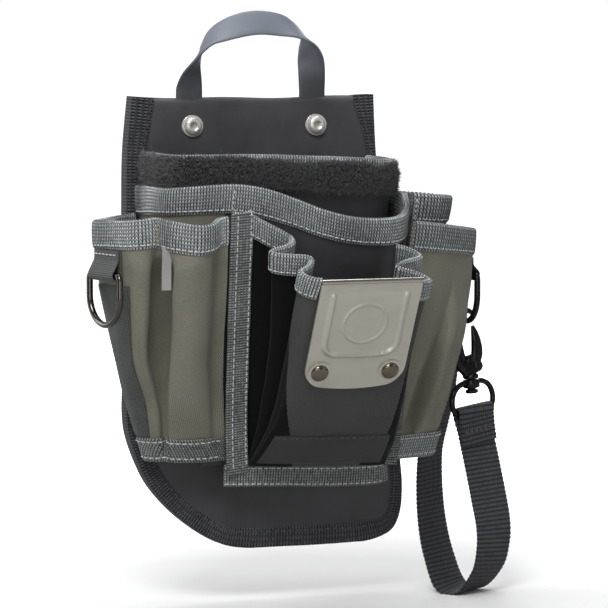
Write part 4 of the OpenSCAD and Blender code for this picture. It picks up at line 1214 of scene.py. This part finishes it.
# ---- screws, washers ----
b = Build()
for sx, sz in SCREWS:
    base = -8.35
    cup = [(0.05, 0.6), (1.75, 0.6), (1.8, 2.3), (2.3, 2.75), (3.2, 2.65), (4.0, 2.15), (4.55, 1.4),
           (4.75, 0.95), (5.3, 0.85),
           (5.45, 0.5), (5.4, 0.0), (2.4, -0.05), (2.4, -8), (0.05, -8)]
    lathe(b, (sx, base, sz), (0, -1, 0), cup, hexagon=(1, 2))
b.done("clip_screw_heads", "screw_steel", stands_for=("clip_screws",), sharp=32)
b = Build()
for sx, sz in SCREWS:
    ring = [(2.6, 0.0), (2.6, 0.5), (4.9, 0.75), (5.5, 0.45), (5.6, 0.0)]
    lathe(b, (sx, -7.75, sz), (0, -1, 0), ring + [(2.6, 0.0)])
b.done("clip_washer_rings", "screw_steel", stands_for=("clip_washers",), sharp=32)


# ---- rings and tabs ----
def turned(p, at, deg):
    """Local (along bar, back, up) to the panel frame at a ring's bar."""
    a = math.radians(deg)
    p = np.asarray(p, float)
    return np.array(at) + np.stack([p[..., 0] * math.cos(a) - p[..., 1] * math.sin(a),
                                    p[..., 0] * math.sin(a) + p[..., 1] * math.cos(a), p[..., 2]],
                                    axis=-1)


RING_W, RING_H, RING_WIRE, CORNER = 28.0, 24.5, 3.2, 2.6


def ring_path():
    half, leg = RING_W / 2, RING_H - RING_W / 2 - CORNER
    pts = []
    for a in np.linspace(90, 0, 8):
        pts.append((half - CORNER + CORNER * math.cos(math.radians(a)),
                    -CORNER + CORNER * math.sin(math.radians(a))))
    for a in np.linspace(0, -180, 40):
        pts.append((half * math.cos(math.radians(a)), -CORNER - leg + half * math.sin(math.radians(a))))
    for a in np.linspace(180, 90, 8):
        pts.append((CORNER - half + CORNER * math.cos(math.radians(a)),
                    -CORNER + CORNER * math.sin(math.radians(a))))
    pts.append(pts[0])
    L = np.array([(x, 0, z) for x, z in pts])
    s = lengths(L)
    t = np.linspace(0, s[-1], 161)[:-1]
    return np.stack([np.interp(t, s, L[:, i]) for i in range(3)], axis=1)


def d_ring(name, at, deg, body, node, mat="gunmetal"):
    L = ring_path()
    ext = np.concatenate([L[-1:], L, L[:1]])
    d = unit(ext[2:] - ext[:-2])
    w = np.cross(d, [0, 1, 0])
    a = np.linspace(0, TAU, 18, endpoint=False)
    S = L[:, None] + w[:, None] * (RING_WIRE / 2
                                   * np.cos(a))[None, :, None] + np.array([0, 1.0, 0]) * (RING_WIRE / 2
                                           * np.sin(a))[None, :, None]
    S = turned(np.concatenate([S, S[:1]]), at, deg)
    b = Build()
    b.loft(S, caps=False)
    b.done(name, mat, body=body, stands_for=(node,), sharp=60)


def ring_tab(name, at, deg, rise, node, mat):
    """Tape looped round a ring's bar, both leaves rising behind it and sewn across."""
    r = RING_WIRE / 2 + 0.9
    pts = np.array([(0, 2.3, rise), (0, 2.35, rise * 0.6), (0, r, 1.0), (0, r * 0.8, -r * 0.6),
                    (0, 0, -r), (0, -r * 0.8, -r * 0.6),
                    (0, -r, 0.3), (0, -r * 0.75, r * 0.75), (0, 0.1, rise * 0.45), (0, 1.0, rise * 0.62),
                    (0, 1.15, rise)])
    L = turned(even(pts, 90), at, deg)
    a = math.radians(deg)
    W = np.tile([math.cos(a), math.sin(a), 0.0], (90, 1))
    S, s, w, n = ribbon_sections(L, W, 22.5, 1.0, profile=20, rib=1.35, amp=0.04, scallop=0.08)
    b = Build()
    b.loft(S, u=s)
    b.done(name, mat, stands_for=(node,), sharp=60)
    row = turned(np.stack([np.linspace(-10.5, 10.5, 30), np.full(30, 0.45), np.full(30, rise * 0.82)],
                          axis=1), at, deg)
    front = np.tile([math.sin(a), -math.cos(a), 0.0], (30, 1))
    stitches(name + "_stitches", [(row, front)], "light_thread")


LEFT_RING_AT, LEFT_TURN = (-90.3, -49, 146.5), -75
RIGHT_RING_AT, RIGHT_TURN = (113.4, -18, 139.5), 90
d_ring("left_ring_wire", LEFT_RING_AT, LEFT_TURN, "left_ring", "left_d_ring")
d_ring("right_ring_wire", RIGHT_RING_AT, RIGHT_TURN, "right_ring", "right_d_ring", mat="gloss_black")
ring_tab("left_ring_tape", LEFT_RING_AT, LEFT_TURN, 12, "left_ring_tab", "grey_plain_tape")
ring_tab("right_ring_tape", RIGHT_RING_AT, RIGHT_TURN, 9, "right_ring_tab", "grey_plain_tape")

# ---- swivel hook ----
EYE_AT, LEAN, EYE_TURN = np.array([117.5, -18, 68]), math.radians(-5.2), math.radians(22)


def chain(p):
    """Coordinates along the hanging chain to the panel frame."""
    p = np.asarray(p, float)
    return EYE_AT + np.stack([p[..., 0] * math.cos(LEAN) + p[..., 2] * math.sin(LEAN), p[..., 1],
                              -p[..., 0] * math.sin(LEAN) + p[..., 2] * math.cos(LEAN)], axis=-1)


def eye_turned(p):
    p = np.asarray(p, float)
    c, s = math.cos(EYE_TURN), math.sin(EYE_TURN)
    return chain(np.stack([p[..., 0] * c - p[..., 1] * s, p[..., 0] * s + p[..., 1] * c, p[..., 2]],
                          axis=-1))


def closed_tube(build, L, r, to, sides=16, flat=1.0):
    ext = np.concatenate([L[-1:], L, L[:1]])
    d = unit(ext[2:] - ext[:-2])
    w = np.cross(d, [0, 1, 0])
    a = np.linspace(0, TAU, sides, endpoint=False)
    S = L[:, None] + w[:, None] * (r * np.cos(a))[None, :, None] + np.array([0, 1.0, 0]) * (flat * r
            * np.sin(a))[None, :, None]
    build.loft(to(np.concatenate([S, S[:1]])), caps=False)


def lathe_local(build, to, at, axis, profile, sides=40):
    ax = unit(np.array(axis, float))
    side = unit(np.cross(ax, [0.31, 0.2, 0.93] if abs(ax[1]) > 0.5 else [0.1, 1, 0.05]))
    other = np.cross(ax, side)
    a = np.linspace(0, TAU, sides, endpoint=False)
    rings = [np.array(at) + ax * h + side * (r * np.cos(a))[:, None] + other * (r * np.sin(a))[:, None]
             for r, h in profile]
    build.loft(to(np.stack(rings)), u=np.array([h for _, h in profile], float))


def swivel():
    half = [(0, 0, 0), (10.6, 0, 0), (13.0, 0, 0.7), (14.5, 0, 3.0), (14.8, 0, 6.2), (13.8, 0, 9.8),
            (11.2, 0, 12.9), (7.2, 0, 14.7),
            (3.4, 0, 15.0)]
    eye = even(half + [(0, 0, 15)] + [(-x, y, z) for x, y, z in half[::-1]], 161)[:-1]
    b = Build()
    closed_tube(b, eye, 1.45, eye_turned)
    collar = [(2.2, 12.0), (3.9, 12.1), (4.4, 12.6), (4.4, 15.8), (3.9, 16.4), (2.2, 16.5), (2.15, 16.4),
              (2.15, 12.1), (2.2, 12.0)]
    lathe_local(b, eye_turned, (0, 0, 0), (0, 0, 1), collar)
    b.done("swivel_eye_ring", "gloss_black", body="eye", stands_for=("swivel_eye",),
           sharp=50)


PIVOT = (3.4, 0, 23.2)


def sweep_bar(b, pts, r, thick, n=60, sides=18):
    """Tapered bar in the hook's plane: r in the plane, thick across it."""
    L = even(pts, n)
    r = np.interp(np.linspace(0, 1, n), np.linspace(0, 1, len(r)), r)
    d = unit(np.gradient(L, axis=0))
    w = np.cross(d, [0, 1, 0])
    a = np.linspace(0, TAU, sides, endpoint=False)
    c, q = np.sign(np.cos(a)) * np.abs(np.cos(a)) ** 0.7, np.sign(np.sin(a)) * np.abs(np.sin(a)) ** 0.7
    S = L[:, None] + w[:, None] * (r[:, None]
                                   * c)[..., None] + np.array([0, 1.0, 0]) * (np.minimum(thick,
                                           thick * r / r.max() * 1.3)[:, None] * q)[..., None]
    b.loft(chain(S))


def hook():
    b = Build()
    neck = [(0.05, 9.2), (2.9, 9.25), (3.3, 9.7), (3.3, 11.0), (2.05, 11.4), (2.05, 16.8), (3.6, 16.9),
            (4.2, 17.4), (4.1, 18.6),
            (3.0, 19.6), (0.05, 20.2)]
    lathe_local(b, chain, (0, 0, 0), (0, 0, 1), neck)
    sweep_bar(b, [(0.4, 0, 20.4), (-3.0, 0, 22.2), (-5.4, 0, 27), (-6.1, 0, 34), (-5.7, 0, 42),
                  (-3.6, 0, 49.2), (0, 0, 52.4), (3.4, 0, 50.9),
                  (5.0, 0, 48)], [2.7, 3.4, 3.5, 2.9, 2.1, 1.6, 1.5, 1.4, 0.6], 2.3, n=90)
    sweep_bar(b, [(0.2, 0, 19.0), (-1.8, 0, 21), (-3.6, 0, 23.4), (-4.4, 0, 26)], [2.2, 3.4, 3.0, 2.0],
              2.45, n=40)
    sweep_bar(b, [(0.4, 0, 20.5), (0.6, 0, 24), (0.2, 0, 27.5), (-0.2, 0, 29.3)], [2.6, 3.2, 3.0, 1.6],
              1.7, n=30)
    a = np.linspace(0, TAU, 40, endpoint=False)
    for sy in (-1, 1):
        cx, cz = np.cos(a), np.sin(a)
        big = np.array([PIVOT[0], 0, PIVOT[2]]) + np.stack([3.0 * cx, 0 * cx, 3.0 * cz], axis=1)
        small = np.array([-1.4, 0, 21.4]) + np.stack([3.2 * cx, 0 * cx, 3.2 * cz], axis=1)
        k = np.clip((cx + 0.15) * 3, 0, 1)[:, None]
        ring = small * (1 - k) + big * k
        mid = ring.mean(axis=0)
        rows = [mid + (ring - mid) * f + np.array([0, sy * y, 0]) for f,
                y in ((0.9, 1.9), (1, 2.0), (1, 2.35), (0.93, 2.55), (0.8, 2.6))]
        b.loft(chain(np.stack(rows)))
    for pts in ([(-5.6, -2.2, 29.5), (-4.2, -2.6, 25.5), (-1.8, -2.75, 21.6), (0.2, -2.6, 19.4)],
                [(-3.6, -2.5, 26.6), (-1.4, -2.8, 23.6), (1.2, -2.8, 20.6)]):
        b.loft(chain(tube_sections(even(pts, 24), 0.42, 8)))
    b.done("hook_arm", "gloss_black", body="hook", stands_for=("hook_body",), sharp=60)
    b = Build()
    dome = [(2.1 * math.sin(t), 0.9 * math.cos(t)) for t in np.linspace(0.15, 1.5, 8)]
    lathe_local(b, chain, PIVOT, (0, 1, 0),
                [(0.05, -3.6)] + [(r, -2.65 - h) for r, h in dome] + [(1.0, -2.6), (1.0, 2.6)]
                + [(r, 2.65 + h) for r, h in dome[::-1]] + [(0.05, 3.6)])
    b.done("gate_rivet", "gloss_black", body="hook", stands_for=("gate_pin",), sharp=60)
    b = Build()
    sweep_bar(b, [(2.6, 0, 21.6), (3.0, 0, 23.4), (3.9, 0, 26.6), (4.6, 0, 30.6), (4.6, 0, 35.4),
                  (4.1, 0, 39.8), (3.2, 0, 44.2)],
              [1.8, 2.6, 3.1, 2.9, 2.4, 1.8, 0.8], 1.8, n=60)
    b.loft(chain(tube_sections(even([(4.9, -1.6, 27.5), (5.9, -1.7, 30.6), (5.8, -1.65, 35.4),
                                     (5.0, -1.5, 40)], 24), 0.35, 8)))
    b.done("gate_bar", "gloss_black", body="gate", stands_for=("hook_gate",), sharp=60)


swivel()
hook()


# ---- wrist strap ----
def wrist_strap():
    we, wl = np.array([0.923, 0.375, 0.084]), np.array([0.785, 0.619, 0.0])
    nf = unit(np.array([0.375, -0.923, 0.0]))
    e = EYE_AT
    r = 2.45
    start = [e + nf * 1.9 + np.array([1.9, -0.5, -16.5]), e + nf * 1.9 + np.array([1.0, -0.2, -10]),
             e + nf * 2.2 + np.array([0.2, 0, -3.5]),
             e + nf * r, e + nf * r * 0.7 + np.array([0, 0, r * 0.7]), e + np.array([0, 0, r]),
             e - nf * r * 0.7 + np.array([0, 0, r * 0.7]),
             e - nf * r, e - nf * 1.4 + np.array([0.3, 0, -4.5]),
             e - nf * 0.5 + np.array([1.2, -0.3, -10])]
    run = [(119.9, -18.7, 50.5), (121.4, -21.6, 39), (123.0, -24.6, 26), (124.6, -28.2, 10),
           (124.2, -29, -2), (121.8, -27, -14),
           (115.5, -20, -25), (108, -11, -24), (103.7, -4.5, -8),
           (101.4, -1.4, 8), (100.4, 0, 26), (100.6, -0.4, 44), (103, -2, 58), (105.8, -4, 70),
           (107.4, -5.0, 80), (109, -5.9, 93), (110, -6.0, 104)]
    pts = np.array([tuple(p) for p in start] + run)
    n = 980
    L = even(pts, n)
    s = lengths(L)
    t_eye = 74.0
    f = np.clip((s - t_eye) / (s[-1] - t_eye - 60), 0, 1)[:, None]
    W = we * (1 - f) + wl * f
    width = np.interp(s, [0, s[-1] - 45, s[-1] - 25, s[-1]], [25.0, 25.0, 21, 18])
    d = unit(np.gradient(L, axis=0))
    w = unit(W - (W * d).sum(axis=1, keepdims=True) * d)
    nn = np.cross(d, w)
    a = np.linspace(0, TAU, 22, endpoint=False) + 0.07
    cx = np.sign(np.cos(a)) * np.abs(np.cos(a)) ** 0.3
    cy = np.sign(np.sin(a)) * np.abs(np.sin(a)) ** 0.45
    ripple = np.cos(TAU * s / 2.3)
    half = width / 2 + 0.2 * ripple
    thick = 0.85 + 0.09 * ripple
    S = L[:, None] + w[:, None] * (half[:, None] * cx)[..., None] + nn[:, None] * (thick[:, None]
            * cy)[..., None]
    b = Build()
    b.loft(S, u=s)
    o = b.done("wrist_strap", "strap_webbing", stands_for=("strap_top_loop", "strap_run", "strap_tail"),
               sharp=60, ride=False)
    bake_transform(o)
    k = int(np.argmin(np.abs(s - 6.0)))
    across = w[k] * np.linspace(-10.8, 10.8, 30)[:, None]
    q = nn[k] if nn[k][1] < 0 else -nn[k]
    lines = [(L[k] + across + q * 1.15, np.tile(q, (30, 1))),
             (L[k + 3] + across + q * 1.15, np.tile(q, (30, 1)))]
    stitches("wrist_strap_stitches", lines, "black_thread", long=2.3, gap=1.1, r=0.55)


wrist_strap()

# ---- finishes for the CAD nodes that stay ----
KEPT = {"panel_stiffener": "board", "belt_clip": "bright_steel", "clip_nuts": "bright_steel"}
for node, mat in KEPT.items():
    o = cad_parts[node]
    o.data.materials.clear()
    o.data.materials.append(M[mat])
    bevel = o.modifiers.new("edges", "BEVEL")
    bevel.width, bevel.segments = 0.00025, 2
    bevel.limit_method, bevel.angle_limit = "ANGLE", math.radians(40)

# ---- studio ----
scene = bpy.context.scene
scene.view_settings.view_transform = "Standard"
world = bpy.data.worlds.new("studio")
scene.world = world
world.use_nodes = True
wt = world.node_tree
wt.nodes.clear()
wo = wt.nodes.new("ShaderNodeOutputWorld")
seen, glow = wt.nodes.new("ShaderNodeBackground"), wt.nodes.new("ShaderNodeBackground")
mixer = wt.nodes.new("ShaderNodeMixShader")
path = wt.nodes.new("ShaderNodeLightPath")
seen.inputs[1].default_value = 1.0
seen.inputs[0].default_value = (1, 1, 1, 1)
glow.inputs[0].default_value = (0.95, 0.97, 1.0, 1)
glow.inputs[1].default_value = 0.16
wt.links.new(path.outputs["Is Camera Ray"], mixer.inputs[0])
wt.links.new(glow.outputs[0], mixer.inputs[1])
wt.links.new(seen.outputs[0], mixer.inputs[2])
wt.links.new(mixer.outputs[0], wo.inputs[0])

STAGE_FLOOR = -27
FLOOR_Z = place((0, 0, STAGE_FLOOR))[2]
CENTRE = (15.975, -40, 128.3)
CENTRE_ROW = tuple(float(v) * 1000 for v in place(CENTRE))
g = Graph("floor")
x, y, z = g.pos()
away = ((x - CENTRE_ROW[0]) * (x - CENTRE_ROW[0]) + (y - CENTRE_ROW[1]) * (y - CENTRE_ROW[1])).pow(0.5)
far = g.clamp((away - 160.0) / 420.0)
seen_by_camera = Val(g, g.t.nodes.new("ShaderNodeLightPath").outputs["Is Camera Ray"])
pale = g.mix(g.noise((x, y, z), 0.01) * 0.3, (0.90, 0.90, 0.90), (0.93, 0.93, 0.93))
floor_mat = g.finish(g.mix(seen_by_camera, (0.42, 0.42, 0.42), pale), 0.9, spec=0.1)
g.bsdf.inputs["Emission Color"].default_value = (1, 1, 1, 1)
g.put(g.bsdf.inputs["Emission Strength"], far * seen_by_camera)
me = bpy.data.meshes.new("floor")
FLOOR_HALF = 30.0
corners = [(x * FLOOR_HALF, y * FLOOR_HALF, FLOOR_Z) for x, y in ((-1, -1), (1, -1), (1, 1), (-1, 1))]
me.from_pydata(corners, [], [[0, 1, 2, 3]])
me.materials.append(floor_mat)
floor = bpy.data.objects.new("floor", me)
scene.collection.objects.link(floor)


def area(name, at, look, size, power):
    data = bpy.data.lights.new(name, "AREA")
    data.shape = "RECTANGLE"
    data.size, data.size_y = size
    data.energy = power
    o = bpy.data.objects.new(name, data)
    scene.collection.objects.link(o)
    o.location = Vector(place(at))
    o.rotation_euler = (Vector(place(look)) - o.location).to_track_quat("-Z", "Y").to_euler()


area("key", (-450, -800, 1000), CENTRE, (0.5, 0.5), 10)
area("front", (-520, -1300, 40), CENTRE, (1.0, 0.8), 4.5)
area("fill", (900, -900, 250), CENTRE, (0.8, 1.0), 1.0)
area("top", (60, 60, 1300), CENTRE, (0.8, 0.8), 8)
area("rim", (-900, 600, 500), CENTRE, (0.5, 1.0), 5)
area("back", (500, 1100, 500), CENTRE, (0.8, 0.8), 6)

cam_data = bpy.data.cameras.new("camera")
cam = bpy.data.objects.new("camera", cam_data)
scene.collection.objects.link(cam)
scene.camera = cam
AZ, EL, DIST = math.radians(-20), math.radians(5), 1.6
SENSOR, VIEW_WIDTH = 36, 0.304
back = Vector((math.sin(AZ) * math.cos(EL), -math.cos(AZ) * math.cos(EL), math.sin(EL)))
cam.location = Vector(place(CENTRE)) + back * DIST
cam.rotation_mode = "QUATERNION"
cam.rotation_quaternion = (-back).to_track_quat("-Z", "Y")
cam_data.sensor_width = SENSOR
cam_data.lens = SENSOR * DIST / VIEW_WIDTH
cam_data.clip_end = 100
